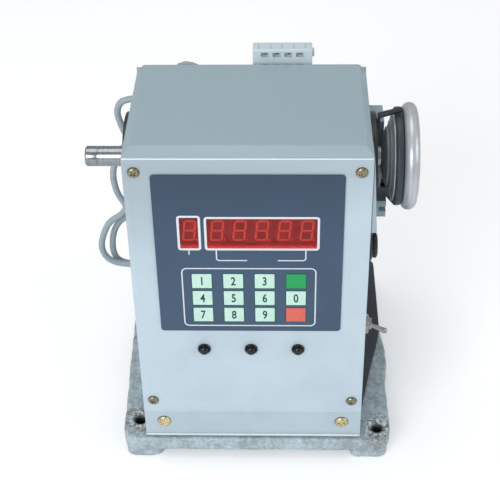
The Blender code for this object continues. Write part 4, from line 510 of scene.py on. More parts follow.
def make_finishes(scene):
    """Every finish by the name of its slot, and those of the new pieces."""
    case, keypad, wheel = scene.winder_case, scene.winder_keypad, scene.winder_wheel
    shown = scene.winder_display
    black = colour(30, 33, 38)
    made = [
        hammered("hammered_paint", tuple(case.base_paint)),
        painted("case_paint", tuple(case.case_paint)),
        # The panel darkens towards its top left as painted shade
        painted("panel_paint", tuple(case.panel_paint), gloss=0.34, painted_shade_share=0.72),
        painted("skirt_paint", tuple(case.skirt_paint), gloss=0.34),
        # Near white: bare sheet edges, and a painted highlight along them
        painted("bare_edge_and_highlight", tuple(case.bare_edge_and_highlight), gloss=0.25),
        film("membrane_film", tuple(keypad.film)),
        clear_red("red_filter", tuple(shown.filter_red)),
        moulded("black_plastic", black, rough=0.3),
        painted("black_paint", colour(36, 40, 45), gloss=0.42, bare=(0.22, 0.23, 0.24)),
        circuit("circuit_green", colour(34, 104, 62)),
        moulded("digit_grey", colour(74, 14, 12), rough=0.5),
        turned("bright_steel", tuple(wheel.steel), SPINDLE_LINE, 700, rough=0.13, depth=0.000004),
        turned("bearing_steel", colour(166, 168, 170), SPINDLE_LINE, 2600, rough=0.28),
        turned("polished_aluminium", tuple(wheel.aluminium), SPINDLE_LINE, 1100, rough=0.27,
               metallic=0.5),
        plated("zinc_screw", colour(158, 150, 124), rough=0.24),
        plated("brass_screw", colour(226, 212, 168), rough=0.28),
        rubber("belt_rubber", tuple(wheel.belt), grain=900, depth=0.00004, rough=0.42),
        rubber("mat_rubber", colour(52, 60, 67)),
        painted("motor_paint", colour(84, 90, 96), gloss=0.4, bare=(0.3, 0.31, 0.32)),
        moulded("cable_grey", tuple(scene.winder_cable.sheath), rough=0.4, worn=1.1),
        moulded("nylon_white", colour(203, 217, 224), rough=0.32, worn=1.08),
        laminated("transformer_core", colour(110, 104, 98)),
        brushed("galvanised", colour(176, 182, 186), rough=0.34),
        ink("print_white", tuple(keypad.print_white)),
        ink("key_pale", tuple(keypad.key_pale)),
        ink("key_green", tuple(keypad.key_green)),
        ink("key_red", tuple(keypad.key_red)),
        ink("key_edge", tuple(keypad.key_edge)),
        ink("numeral_ink", colour(34, 58, 66)),
        glowing("digit_segment", tuple(shown.segment)),
        brushed("plain_steel", colour(172, 174, 170), rough=0.18, stretch=(1, 1, 1), scale=600),
        moulded("gloss_black", colour(14, 15, 18), rough=0.12),
    ]
    return {finish.name: finish.material for finish in made}


def finish_named(name):
    return bpy.data.materials[name + "_finish"]


# Shapes

def put(name, data):
    """A new object in the scene."""
    made = bpy.data.objects.new(name, data)
    bpy.context.scene.collection.objects.link(made)
    return made


def evaluated_mesh(carrier):
    """An object's mesh with all that shapes it applied."""
    bpy.context.view_layer.update()
    evaluated = carrier.evaluated_get(bpy.context.evaluated_depsgraph_get())
    return bpy.data.meshes.new_from_object(evaluated)


def plain_mesh(name, shape):
    """A bmesh as mesh data, just as it is."""
    mesh = bpy.data.meshes.new(name)
    shape.to_mesh(mesh)
    shape.free()
    return mesh


def mesh_of(name, shape):
    """A bmesh as mesh data, welded, its faces outward and smooth up to a sharp angle."""
    bmesh.ops.remove_doubles(shape, verts=shape.verts, dist=WELD)
    bmesh.ops.recalc_face_normals(shape, faces=shape.faces)
    return smooth(plain_mesh(name, shape))


def smooth(mesh):
    mesh.shade_smooth()
    mesh.set_sharp_from_angle(angle=SHARP)
    return mesh


def show(name, mesh, finish, body="frame", replaced=()):
    """A mesh as a finished piece that rides on a body."""
    piece = put(name, mesh)
    mesh.materials.clear()
    mesh.materials.append(finish_named(finish))
    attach(piece, body)
    if replaced:
        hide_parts(*replaced)
    return piece


def baked(name, mesh, modifiers):
    """The mesh with modifiers applied, each a type and its settings."""
    carrier = put(name, mesh)
    helpers = []
    for kind, settings in modifiers:
        modifier = carrier.modifiers.new(kind, kind)
        for key, value in settings.items():
            if isinstance(value, bpy.types.Mesh):
                value = put("helper", value)
                helpers.append(value)
            setattr(modifier, key, value)
    result = evaluated_mesh(carrier)
    result.name = name
    for used in (carrier, *helpers):
        bpy.data.objects.remove(used)
    return result


def eased_mesh(name, mesh, width, segments=2):
    """The mesh with its sharp edges rounded."""
    bevel = {"width": width, "segments": segments, "limit_method": "ANGLE",
             "angle_limit": SHARP, "harden_normals": False}
    return smooth(baked(name, mesh, [("BEVEL", bevel)]))


def cut_mesh(name, mesh, tools, operation="DIFFERENCE"):
    steps = [("BOOLEAN", {"operation": operation, "solver": "EXACT", "object": tool})
             for tool in tools]
    return smooth(baked(name, mesh, steps))


def welded(node):
    """A CAD node's mesh as a welded bmesh."""
    shape = bmesh.new()
    shape.from_mesh(frame["nodes"][node].data)
    bmesh.ops.remove_doubles(shape, verts=shape.verts, dist=WELD)
    return shape


def solid_of(node, width, segments=2):
    """A copy of a CAD node with its flat faces whole and its edges rounded."""
    shape = welded(node)
    bmesh.ops.dissolve_limit(shape, angle_limit=math.radians(1), verts=shape.verts,
                             edges=shape.edges)
    return eased_mesh(node, plain_mesh(node, shape), width, segments)


def show_solid(name, node, finish, width, segments=2):
    """A CAD node's rounded copy as a finished piece in its place."""
    show(name, solid_of(node, width, segments), finish, replaced=[node])


def add_box(shape, corner, far_corner, ease=0.0):
    """A box in a shape between two corners, its edges rounded."""
    size = Vector(far_corner) - Vector(corner)
    place = Matrix.Translation((Vector(corner) + Vector(far_corner)) / 2)
    made = bmesh.ops.create_cube(shape, size=1, matrix=place @ Matrix.Diagonal((*size, 1)))
    if ease:
        edges = {edge for vert in made["verts"] for edge in vert.link_edges}
        bmesh.ops.bevel(shape, geom=list(edges), offset=ease, segments=3, profile=0.5,
                        affect="EDGES")


def box_mesh(name, corner, far_corner, ease=0.0):
    shape = bmesh.new()
    add_box(shape, corner, far_corner, ease)
    return mesh_of(name, shape)


AXES = {
    "X": lambda out, side, along: (along, out, side),
    "Y": lambda out, side, along: (out, along, side),
    "Z": lambda out, side, along: (out, side, along),
}


def profile(base, *points):
    """An outline's stretch in millimetres: radii, and distances from a base in metres."""
    return [(radius * MM, base + along * MM) for radius, along in points]


def rod(radius, start, end):
    """The outline of a plain round rod."""
    return [(0, start), (radius, start), (radius, end), (0, end)]


def add_turned(shape, outline, axis, centre, steps):
    """A turned solid from radius and distance along the axis, up the outside from the low
    end and back down the bore where there is one."""
    rings = []
    for radius, along in outline:
        count = steps if radius > 0 else 1
        ring = []
        for i in range(count):
            angle = 2 * math.pi * i / steps
            spot = AXES[axis](radius * math.cos(angle), radius * math.sin(angle), along)
            ring.append(shape.verts.new(Vector(spot) + Vector(centre)))
        rings.append(ring)
    pairs = list(zip(rings, rings[1:]))
    if outline[0][0] > 0:
        pairs.append((rings[-1], rings[0]))
    for first, second in pairs:
        for i in range(steps):
            j = (i + 1) % steps
            corners = [first[i % len(first)], first[j % len(first)],
                       second[j % len(second)], second[i % len(second)]]
            face = list(dict.fromkeys(corners))
            if len(face) > 2:
                shape.faces.new(face)


def eased(outline, reach, steps=3):
    """An open outline with its corners rounded by up to the reach."""
    points = [outline[0]]
    for before, here, after in zip(outline, outline[1:], outline[2:]):
        here, back, ahead = Vector(here), Vector(before), Vector(after)
        cut = min(reach, (here - back).length * 0.45, (here - ahead).length * 0.45)
        start = here + (back - here).normalized() * cut
        end = here + (ahead - here).normalized() * cut
        for step in range(steps + 1):
            t = step / steps
            points.append(tuple(start * (1 - t) ** 2 + here * 2 * t * (1 - t) + end * t ** 2))
    points.append(outline[-1])
    return points


def turned_mesh(name, outline, axis, centre, steps, ease=0.0):
    """A turned solid's mesh. A ring's outline is eased all the way round."""
    if ease:
        if outline[0][0] > 0:
            loop = eased([outline[-1], *outline, outline[0]], ease)
            outline = loop[1:-1]
        else:
            outline = eased(outline, ease)
    shape = bmesh.new()
    add_turned(shape, outline, axis, centre, steps)
    return mesh_of(name, shape)


def rounded(corners, radius):
    """The corners of an outline, each replaced by an arc."""
    points = []
    count = len(corners)
    for i, corner in enumerate(corners):
        here = Vector(corner)
        back = (Vector(corners[i - 1]) - here).normalized()
        ahead = (Vector(corners[(i + 1) % count]) - here).normalized()
        half_angle = back.angle(ahead) / 2
        centre = here + (back + ahead).normalized() * radius / math.sin(half_angle)
        start = here + back * radius / math.tan(half_angle) - centre
        end = here + ahead * radius / math.tan(half_angle) - centre
        sweep = math.atan2(start.cross(end), start.dot(end))
        for step in range(ARC_STEPS + 1):
            turn = Matrix.Rotation(sweep * step / ARC_STEPS, 2)
            points.append(tuple(centre + turn @ start))
    return points


def rectangle(left, right, bottom, top):
    return [(left, bottom), (right, bottom), (right, top), (left, top)]


def circle(x, y, radius, steps=24):
    turns = [2 * math.pi * i / steps for i in range(steps)]
    return [(x + radius * math.cos(turn), y + radius * math.sin(turn)) for turn in turns]


FLAT_FRAMES = {
    "X": Matrix(((0, 0, 1), (1, 0, 0), (0, 1, 0))),
    "Y": Matrix(((1, 0, 0), (0, 0, -1), (0, 1, 0))),
    "Z": Matrix.Identity(3),
}


def plate_mesh(name, loops, axis, start, end):
    """Flat outlines, with holes where they lie in each other, extruded along an axis."""
    curve = bpy.data.curves.new(name, "CURVE")
    curve.dimensions = "2D"
    curve.fill_mode = "BOTH"
    curve.extrude = (end - start) / 2
    for loop in loops:
        spline = curve.splines.new("POLY")
        spline.points.add(len(loop) - 1)
        spline.use_cyclic_u = True
        for point, (across, up) in zip(spline.points, loop):
            point.co = (across, up, 0, 1)
    centre = Vector([(start + end) / 2 if letter == axis else 0 for letter in "XYZ"])
    return curve_mesh(name, curve, Matrix.Translation(centre) @ FLAT_FRAMES[axis].to_4x4())


def curve_mesh(name, curve, place):
    """A curve or text as a closed mesh, put in its place."""
    carrier = put(name, curve)
    mesh = evaluated_mesh(carrier)
    bpy.data.objects.remove(carrier)
    mesh.transform(place)
    shape = bmesh.new()
    shape.from_mesh(mesh)
    return mesh_of(name, shape)


def joined(name, meshes):
    """Several meshes as one."""
    shape = bmesh.new()
    for mesh in meshes:
        shape.from_mesh(mesh)
    return smooth(plain_mesh(name, shape))


# Geometry nodes

def tree_with(name, sockets):
    """A geometry tree with its named inputs, and its start as a Wire by input name."""
    tree = bpy.data.node_groups.new(name, "GeometryNodeTree")
    tree.interface.new_socket("Geometry", in_out="INPUT", socket_type="NodeSocketGeometry")
    for label, kind in sockets:
        tree.interface.new_socket(label, in_out="INPUT", socket_type=kind)
    tree.interface.new_socket("Geometry", in_out="OUTPUT", socket_type="NodeSocketGeometry")
    entry = tree.nodes.new("NodeGroupInput")
    return tree, {socket.name: Wire(tree, socket) for socket in entry.outputs if socket.name}


def end_tree(tree, shape, finish):
    """The closing nodes: real geometry with its material."""
    real = shape.node("GeometryNodeRealizeInstances", {}, {0: shape})
    smoothed = shape.node("GeometryNodeSetShadeSmooth", {}, {0: real, 2: True})
    painted_shape = shape.node("GeometryNodeSetMaterial", {}, {0: smoothed, 2: finish})
    exit_node = tree.nodes.new("NodeGroupOutput")
    tree.links.new(painted_shape.socket, exit_node.inputs[0])


def scatter_tree(pivot):
    """Copies of a template on points, each faced along its point's facing."""
    tree, inputs = tree_with("scatter " + pivot.lower(), [
        ("Template", "NodeSocketObject"), ("Spin", "NodeSocketFloat"),
        ("Seed", "NodeSocketInt"), ("Finish", "NodeSocketMaterial")])
    start = inputs["Geometry"]
    facing = start.node("GeometryNodeInputNamedAttribute", {"data_type": "FLOAT_VECTOR"},
                        {"Name": "facing"})
    aligned = start.node("FunctionNodeAlignRotationToVector", {"axis": "Z", "pivot_axis": pivot},
                         {"Vector": facing})
    spin = start.node("FunctionNodeRandomValue", {"data_type": "FLOAT"},
                      {2: 0.0, 3: inputs["Spin"], "Seed": inputs["Seed"]}, 1)
    turn = start.node("FunctionNodeAxisAngleToRotation", {}, {"Axis": (0, 0, 1), "Angle": spin})
    rotation = start.node("FunctionNodeRotateRotation", {"rotation_space": "LOCAL"},
                          {0: aligned, 1: turn})
    template = start.node("GeometryNodeObjectInfo", {}, {"Object": inputs["Template"]}, 4)
    copies = start.node("GeometryNodeInstanceOnPoints", {}, {
        "Points": start, "Instance": template, "Rotation": rotation})
    end_tree(tree, copies, inputs["Finish"])
    return tree


def belt_tree():
    """A rounded belt swept along a closed line in a plane across X."""
    tree, inputs = tree_with("belt along its line", [
        ("Width", "NodeSocketFloat"), ("Thickness", "NodeSocketFloat"),
        ("Corner", "NodeSocketFloat"), ("Finish", "NodeSocketMaterial")])
    start = inputs["Geometry"]
    line = start.node("GeometryNodeMeshToCurve", {}, {"Mesh": start})
    upright = start.node("GeometryNodeSetCurveNormal", {"mode": "FREE"},
                         {"Curve": line, "Normal": (1, 0, 0)})
    section = start.node("GeometryNodeCurvePrimitiveQuadrilateral", {},
                         {"Width": inputs["Width"], "Height": inputs["Thickness"]})
    soft = start.node("GeometryNodeFilletCurve", {"mode": "POLY"},
                      {"Curve": section, "Count": 4, "Radius": inputs["Corner"]})
    swept = start.node("GeometryNodeCurveToMesh", {}, {"Curve": upright, "Profile Curve": soft})
    end_tree(tree, swept, inputs["Finish"])
    return tree


def grown(name, mesh, tree, values):
    """A mesh put through a geometry tree, as a plain mesh."""
    carrier = put(name, mesh)
    modifier = carrier.modifiers.new("Growing", "NODES")
    modifier.node_group = tree
    for socket in tree.interface.items_tree:
        if socket.in_out == "INPUT" and socket.name in values:
            modifier[socket.identifier] = values[socket.name]
    result = evaluated_mesh(carrier)
    carrier.modifiers.remove(modifier)
    bpy.data.objects.remove(carrier)
    result.name = name
    return smooth(result)


def scattered(name, template, spots, finish, spin=0.0, seed=3, pivot="AUTO"):
    """A template's copies at spots, each a place and the way it faces."""
    points = bpy.data.meshes.new(name)
    points.from_pydata([tuple(place) for place, _ in spots], [], [])
    facing = points.attributes.new("facing", "FLOAT_VECTOR", "POINT")
    for i, (_, way) in enumerate(spots):
        facing.data[i].vector = way
    pattern = put("template", template)
    values = {"Template": pattern, "Spin": spin, "Seed": seed, "Finish": finish_named(finish)}
    result = grown(name, points, scatter_tree(pivot), values)
    bpy.data.objects.remove(pattern)
    return result


def on_circle(centre, radius, count, x, facing_x=False, turn=0.0):
    """Spots on a circle across X, facing outward or along X."""
    spots = []
    for i in range(count):
        angle = turn + 2 * math.pi * i / count
        out = Vector((0, math.cos(angle), math.sin(angle)))
        place = Vector((x, centre.y, centre.z)) + out * radius
        spots.append((place, (1, 0, 0) if facing_x else out))
    return spots


def screw_template(diameter, height, recess):
    """A pan head with a cross recess, standing on the ground along Z."""
    radius = diameter / 2
    outline = [(0, -1.2 * MM), (radius * 0.55, -1.2 * MM), (radius * 0.55, 0), (radius * 0.98, 0),
               (radius, height * 0.25), (radius * 0.93, height * 0.62),
               (radius * 0.76, height * 0.87), (radius * 0.45, height), (0, height * 1.03)]
    head = turned_mesh("head", outline, "Z", (0, 0, 0), 40, 0.12 * MM)
    span, width = recess / 2, recess * 0.15
    arms = []
    for long_x in (span, width):
        long_y = span + width - long_x
        corners = rectangle(-long_x, long_x, -long_y, long_y)
        arms.append(plate_mesh("arm", [corners], "Z", height * 0.38, height * 2))
    return eased_mesh("screw", cut_mesh("screw", head, arms), 0.06 * MM, 1)


def hex_template(across, height):
    """A hexagon bolt head with a chamfered top, standing along Z."""
    corners = circle(0, 0, across / 2 / math.cos(math.pi / 6), 6)
    prism = plate_mesh("hexagon", [corners], "Z", -0.5 * MM, height)
    dome = [(0, -1 * MM), (across * 0.62, -1 * MM), (across * 0.62, height * 0.72),
            (across * 0.44, height), (0, height)]
    shaped = turned_mesh("dome", dome, "Z", (0, 0, 0), 40)
    return eased_mesh("bolt", cut_mesh("bolt", prism, [shaped], "INTERSECT"), 0.1 * MM, 1)


# Operators

class PieceOperator:
    """What every piece's operator shares."""

    bl_options = {"REGISTER", "UNDO"}

    def execute(self, context):
        self.build(context.scene)
        return {"FINISHED"}


# The camera fitted to the photograph: its place, its yaw, pitch and roll in degrees, and
# the width of its film in millimetres
CAMERA_PLACE = (0.02113, -0.64546, 0.59296)
CAMERA_ANGLES = (-2.124, 37.469, -1.177)
FILM_WIDTH = 36
LAMP_AIM = Vector((0, 0, 0.12))
FLOOR_REACH = 6


class WINDER_OT_stage(PieceOperator, bpy.types.Operator):
    """Camera at the photograph's angle, soft lamps and a plain pale floor"""

    bl_idname = "winder.stage"
    bl_label = "Stage"

    def build(self, scene):
        look = scene.winder_stage
        self.camera(scene, look)
        self.lamp("front_lamp", (-0.75, -1.5, 0.95), 1.1, look.key)
        self.lamp("side_lamp", (1.5, -0.5, 0.8), 1.0, look.fill)
        self.lamp("top_lamp", (-0.2, 0.2, 1.7), 1.2, look.top)
        self.world(scene, look)
        self.floor(look)
        scene.view_settings.view_transform = "Standard"

    def camera(self, scene, look):
        """The camera fitted to the case's edges in the photograph."""
        yaw, pitch, roll = (math.radians(angle) for angle in CAMERA_ANGLES)
        ahead = Vector((math.sin(yaw) * math.cos(pitch), math.cos(yaw) * math.cos(pitch),
                        -math.sin(pitch)))
        level = Vector((math.cos(yaw), -math.sin(yaw), 0))
        above = level.cross(ahead)
        right = math.cos(roll) * level + math.sin(roll) * above
        up = -math.sin(roll) * level + math.cos(roll) * above
        data = bpy.data.cameras.new("camera")
        data.lens = look.lens
        data.sensor_width = FILM_WIDTH
        camera = put("camera", data)
        turn = Matrix((right, up, -ahead)).transposed().to_4x4()
        camera.matrix_world = Matrix.Translation(CAMERA_PLACE) @ turn
        scene.camera = camera

    def lamp(self, name, place, size, power):
        data = bpy.data.lights.new(name, "AREA")
        data.shape = "DISK"
        data.size = size
        data.energy = power
        lamp = put(name, data)
        aim = LAMP_AIM - Vector(place)
        lamp.matrix_world = (Matrix.Translation(place)
                             @ aim.to_track_quat("-Z", "Y").to_matrix().to_4x4())

    def world(self, scene, look):
        """Even light all round, white where the camera sees it."""
        world = bpy.data.worlds.new("studio")
        world.use_nodes = True
        scene.world = world
        back = world.node_tree.nodes["Background"]
        start = Wire(world.node_tree)
        camera = start.node("ShaderNodeLightPath", {}, {}, 0)
        through = start.node("ShaderNodeLightPath", {}, {}, 6)
        strength = (camera + through).ramp(0, 1, look.sky, 1.0)
        back.inputs["Color"].default_value = (0.97, 0.985, 1, 1)
        world.node_tree.links.new(strength.socket, back.inputs["Strength"])

    def floor(self, look):
        shape = bmesh.new()
        bmesh.ops.create_grid(shape, x_segments=1, y_segments=1, size=FLOOR_REACH)
        mesh = plain_mesh("floor", shape)
        floor = put("floor", mesh)
        made = Finish("floor_white")
        made.set(Base_Color=tuple(look.floor), Roughness=0.9, Specular_IOR_Level=0.1)
        made.set(Emission_Strength=look.floor_lift)
        seen = made.start.node("ShaderNodeLightPath", {}, {}, 0)
        made.set(Emission_Color=seen.blend((0, 0, 0), (1, 1, 1)))
        mesh.materials.append(made.material)


# The cable's points as it hangs behind the case, in millimetres
CABLE_POINTS = (
    (-20.0, 12.3, 80.0), (-22.6, 22.0, 79.4), (-38.0, 24.2, 75.2), (-62.0, 21.0, 70.2),
    (-84.0, 20.0, 70.8), (-94.4, 20.0, 74.8), (-97.2, 20.0, 86.0), (-94.0, 20.0, 101.4),
    (-84.6, 20.0, 110.8), (-61.0, 19.4, 113.6), (-46.2, 17.6, 98.0), (-54.0, 15.2, 80.6),
    (-75.0, 14.0, 75.2), (-93.8, 14.0, 76.2), (-102.0, 14.0, 82.8), (-103.2, 14.0, 93.8),
    (-97.4, 14.0, 109.0), (-88.0, 14.0, 117.0), (-84.8, 14.0, 123.6), (-89.4, 14.0, 134.4),
    (-91.0, 14.0, 148.6), (-87.2, 14.0, 162.8), (-79.8, 14.0, 174.0), (-82.6, 14.0, 185.6),
    (-84.4, 14.0, 195.2), (-81.8, 14.0, 202.2), (-75.6, 14.0, 204.8), (-62.0, 14.0, 207.0),
    (-51.4, 14.0, 218.6), (-40.0, 14.0, 228.9), (-22.0, 14.8, 219.0), (-3.0, 14.6, 203.0),
    (15.0, 12.6, 204.6), (18.7, 12.0, 216.0),
)


def smooth_route(corners, steps):
    """Points of a smooth curve through the corners."""
    spots = [Vector(corner) for corner in corners]
    ends = [2 * spots[0] - spots[1]] + spots + [2 * spots[-1] - spots[-2]]
    points = []
    for i in range(1, len(ends) - 2):
        before, start, end, after = ends[i - 1:i + 3]
        for step in range(steps):
            t = step / steps
            bend = 2 * before - 5 * start + 4 * end - after
            turn = 3 * start - before - 3 * end + after
            points.append(start + ((end - before) * t + bend * t ** 2 + turn * t ** 3) / 2)
    points.append(spots[-1])
    return points


class WINDER_OT_signal_cable(PieceOperator, bpy.types.Operator):
    """The grey cable from its gland over its hook, and the wire connector on its end"""

    bl_idname = "winder.signal_cable"
    bl_label = "Signal cable"

    def build(self, scene):
        diameter = scene.winder_cable.diameter
        points = smooth_route([Vector(point) * MM for point in CABLE_POINTS], 4)
        curve = bpy.data.curves.new("grey_cable", "CURVE")
        curve.dimensions = "3D"
        curve.bevel_depth = diameter / 2
        curve.bevel_resolution = 6
        curve.use_fill_caps = True
        spline = curve.splines.new("POLY")
        spline.points.add(len(points) - 1)
        for point, place in zip(spline.points, points):
            point.co = (*place, 1)
        spline.use_smooth = True
        curve.materials.append(finish_named("cable_grey"))
        cable = put("grey_cable", curve)
        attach(cable, "frame")
        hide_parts("signal_cable")
        length = sum((b - a).length for a, b in zip(points, points[1:]))
        self.connector()

    def connector(self):
        """A nylon housing with eight ways, side ribs and a latch."""
        corner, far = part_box("wire_connector")
        right = far.x - 1.2 * MM
        block = box_mesh("housing", corner, (right, far.y, far.z), 0.8 * MM)
        tools = bmesh.new()
        centre = (corner.x + right) / 2
        pins = bmesh.new()
        for row in range(2):
            for column in range(4):
                x = centre + (column - 1.5) * 7 * MM
                z = far.z - 3.4 * MM - row * 7.6 * MM
                add_box(tools, (x - 2.3 * MM, corner.y - 1 * MM, z - 1.5 * MM),
                        (x + 2.3 * MM, corner.y + 2.4 * MM, z + 1.5 * MM), 0.2 * MM)
                add_box(pins, (x - 1.1 * MM, corner.y + 1.0 * MM, z - 0.5 * MM),
                        (x + 1.1 * MM, corner.y + 2.6 * MM, z + 0.5 * MM), 0.15 * MM)
        for i in range(5):
            x = centre + (i - 2) * 7 * MM
            add_box(tools, (x - 0.5 * MM, corner.y - 1 * MM, corner.z - 1 * MM),
                    (x + 0.5 * MM, corner.y + 0.5 * MM, far.z - 14.5 * MM), 0.1 * MM)
            add_box(tools, (x - 0.6 * MM, corner.y + 2 * MM, far.z - 0.5 * MM),
                    (x + 0.6 * MM, far.y - 2 * MM, far.z + 1 * MM), 0.1 * MM)
        block = cut_mesh("housing", block, [mesh_of("ways", tools)])
        y = (corner.y + far.y) / 2
        latch = box_mesh("latch", (right - 0.6 * MM, y - 2 * MM, far.z - 6 * MM),
                         (far.x, y + 2 * MM, far.z - 2 * MM), 0.3 * MM)
        housing = joined("housing", [eased_mesh("housing", block, 0.12 * MM, 1), latch])
        return [show("connector_housing", housing, "nylon_white", replaced=["wire_connector"]),
                show("connector_pins", mesh_of("pins", pins), "plain_steel")]


# The base's bolt holes seen from above, in millimetres
BOLT_HOLES = ((-74.0, -76.4), (79.8, -82.8), (-79.0, 86.5), (79.8, 86.5))


class WINDER_OT_base(PieceOperator, bpy.types.Operator):
    """The rough cast base with its four pads, and the rubber mat on it"""

    bl_idname = "winder.base"
    bl_label = "Base and mat"

    def build(self, scene):
        cast = self.cast_mesh(scene.winder_case)
        show("rough_base", cast, "hammered_paint", replaced=["base_casting"])
        self.mat()

    def mat(self):
        """The mat, its rear corner cut round as the base's is."""
        far = high("rubber_mat")
        past_the_mat = 0.2
        outline = rounded(rectangle(-past_the_mat, far.x, -past_the_mat, far.y), 9 * MM)
        corner = plate_mesh("corner", [outline], "Z", 0, far.z + MM)
        mat = cut_mesh("mat", solid_of("rubber_mat", 0.35 * MM), [corner], "INTERSECT")
        show("ribbed_mat", mat, "mat_rubber", replaced=["rubber_mat"])

    def cast_mesh(self, look):
        """The solid remeshed to an even skin, softened and lumped as a sand casting is."""
        mesh = plain_mesh("cast", welded("base_casting"))
        spread = max(high("base_casting") - low("base_casting"))
        even = {"mode": "SMOOTH", "octree_depth": 8, "scale": spread / look.grain / 256,
                "use_remove_disconnected": False}
        soft = {"factor": 0.5, "iterations": 3}
        mesh = baked("cast", mesh, [("REMESH", even), ("SMOOTH", soft)])
        deck = high("base_casting").z
        outward = [vert.normal.copy() for vert in mesh.vertices]
        marks = mesh.color_attributes.new("marks", "FLOAT_COLOR", "POINT")
        for vert, normal in zip(mesh.vertices, outward):
            place = vert.co.copy()
            rim, hole_shade, rust = self.near_hole(place, deck)
            lump = noise.fractal(place * 95, 0.9, 2.1, 3) + 0.6 * noise.noise(place * 300)
            if CASE_LOW.x - 2 * MM < place.x < CASE_HIGH.x + 20 * MM and place.z > deck - MM:
                lump = min(lump, 0.2)
            place += normal * (lump + rim * 1.6) * look.lumps
            place.z = min(max(place.z, 0.0), deck + (0.22 + rim * 0.4) * MM)
            vert.co = place
            marks.data[vert.index].color = (rim, hole_shade, rust, 1)
        mesh.shade_smooth()
        return mesh

    def near_hole(self, place, deck):
        """How much a place lies on a bolt hole's rim, in its painted shade and in its rust."""
        if place.z < deck - 9 * MM:
            return 0.0, 0.0, 0.0
        away = min(math.dist(place.xy, Vector(hole) * MM) for hole in BOLT_HOLES)
        rim = math.exp(-((away - 6.2 * MM) / (1.3 * MM)) ** 2)
        # 1 inside the hole, for its painted shade
        hole_shade = 1.0 if away < 3.6 * MM else max(0.0, 1 - (away - 3.6 * MM) / (1.2 * MM))
        rust = max(0.0, 1 - away / (16 * MM)) if away > 4 * MM else 0.0
        return rim, hole_shade, min(1.0, rust * 1.6)


class WINDER_OT_case(PieceOperator, bpy.types.Operator):
    """The folded cover with its bends, and the flat rear panel with its screws"""

    bl_idname = "winder.case"
    bl_label = "Case"

    def build(self, scene):
        cover = self.cover_mesh(scene.winder_case)
        show("folded_cover", cover, "case_paint", replaced=["top_cover"])
        show_solid("rear_plate", "rear_panel", "case_paint", 0.3 * MM)
        head = screw_template(6 * MM, 1.6 * MM, 3 * MM)
        spots = []
        for x in (-61 * MM, 61 * MM):
            for z in (32 * MM, 125 * MM, 222 * MM):
                spots.append((Vector((x, CASE_REAR, z)), (0, 1, 0)))
        screws = scattered("rear_screws", head, spots, "zinc_screw", spin=math.pi, seed=11)
        show("rear_screws", screws, "zinc_screw")

    def cover_mesh(self, look):
        """Two extrusions meeting in mitred bends, hollowed and opened like the solid."""
        bend_y, bend_z = 5.5 * MM, 4.6 * MM
        top, bottom = CASE_HIGH.z, CASE_LOW.z
        lip = top - bend_z
        rear = CASE_HIGH.y
        fold = [(FRONT_Y, lip), (FRONT_Y, lip + 0.4 * MM), (FRONT_Y + bend_y, top), (rear, top)]
        side = eased(fold, 0.8 * MM)
        inside_rear = CASE_REAR - PANEL_DEPTH
        flange = FRONT_Y + PANEL_DEPTH
        side += [(rear, top - SHEET), (inside_rear, top - SHEET),
                 (inside_rear, bottom), (flange, bottom), (flange, lip)]
        shell = plate_mesh("cover", [side], "X", CASE_LOW.x, CASE_HIGH.x)
        outer = self.across(look.bend, 0, bottom - OVERRUN)
        outer = plate_mesh("bends", [outer], "Y", FRONT_Y - OVERRUN, rear + OVERRUN)
        room = FRONT_Y + bend_y + SHEET
        hollow = self.across(look.bend - SHEET / 2, SHEET, bottom - OVERRUN)
        hollow = plate_mesh("hollow", [hollow], "Y", room, inside_rear - SHEET)
        opening = 50.5 * MM
        under = lip - 9 * MM
        shape = bmesh.new()
        add_box(shape, (-opening, FRONT_Y - OVERRUN, bottom - OVERRUN),
                (opening, room + OVERRUN, under))
        add_box(shape, (-opening, inside_rear - SHEET - OVERRUN, bottom - OVERRUN),
                (opening, rear + OVERRUN, under))
        mouths = mesh_of("mouths", shape)
        shell = cut_mesh("cover", shell, [outer], "INTERSECT")
        shell = cut_mesh("cover", shell, [hollow, mouths, self.holes_mesh()])
        return eased_mesh("cover", shell, 0.15 * MM, 1)

    def across(self, bend, wall, bottom):
        """The cover from the front, its top corners folded."""
        left, right, top = CASE_LOW.x + wall, CASE_HIGH.x - wall, CASE_HIGH.z - wall
        fold = [(right, bottom), (right, top - bend), (right - bend, top), (left + bend, top),
                (left, top - bend), (left, bottom)]
        return eased(fold, 0.8 * MM)

    def holes_mesh(self):
        """The spindle's, toggle's and fuse holder's holes and those for the screws."""
        line = (0, SPINDLE_LINE.y, SPINDLE_LINE.z)
        far = CASE_HIGH.x + OVERRUN
        shape = bmesh.new()
        add_turned(shape, rod(19.3 * MM, -far, far), "X", line, ROUND_STEPS)
        for node, radius in (("toggle_nut", 3.9 * MM), ("fuse_holder", 6.3 * MM)):
            centre = middle(node)
            add_turned(shape, rod(radius, 0, far), "X", (0, centre.y, centre.z), 40)
        for node in PANEL_SCREWS + SKIRT_SCREWS:
            centre = middle(node)
            add_turned(shape, rod(2.3 * MM, -OVERRUN, 5 * MM), "Y",
                       (centre.x, FRONT_Y, centre.z), 20)
        return mesh_of("holes", shape)


PANEL_SCREWS = [f"panel_screw_{i}" for i in range(1, 5)]
SKIRT_SCREWS = [f"skirt_screw_{i}" for i in range(1, 3)]


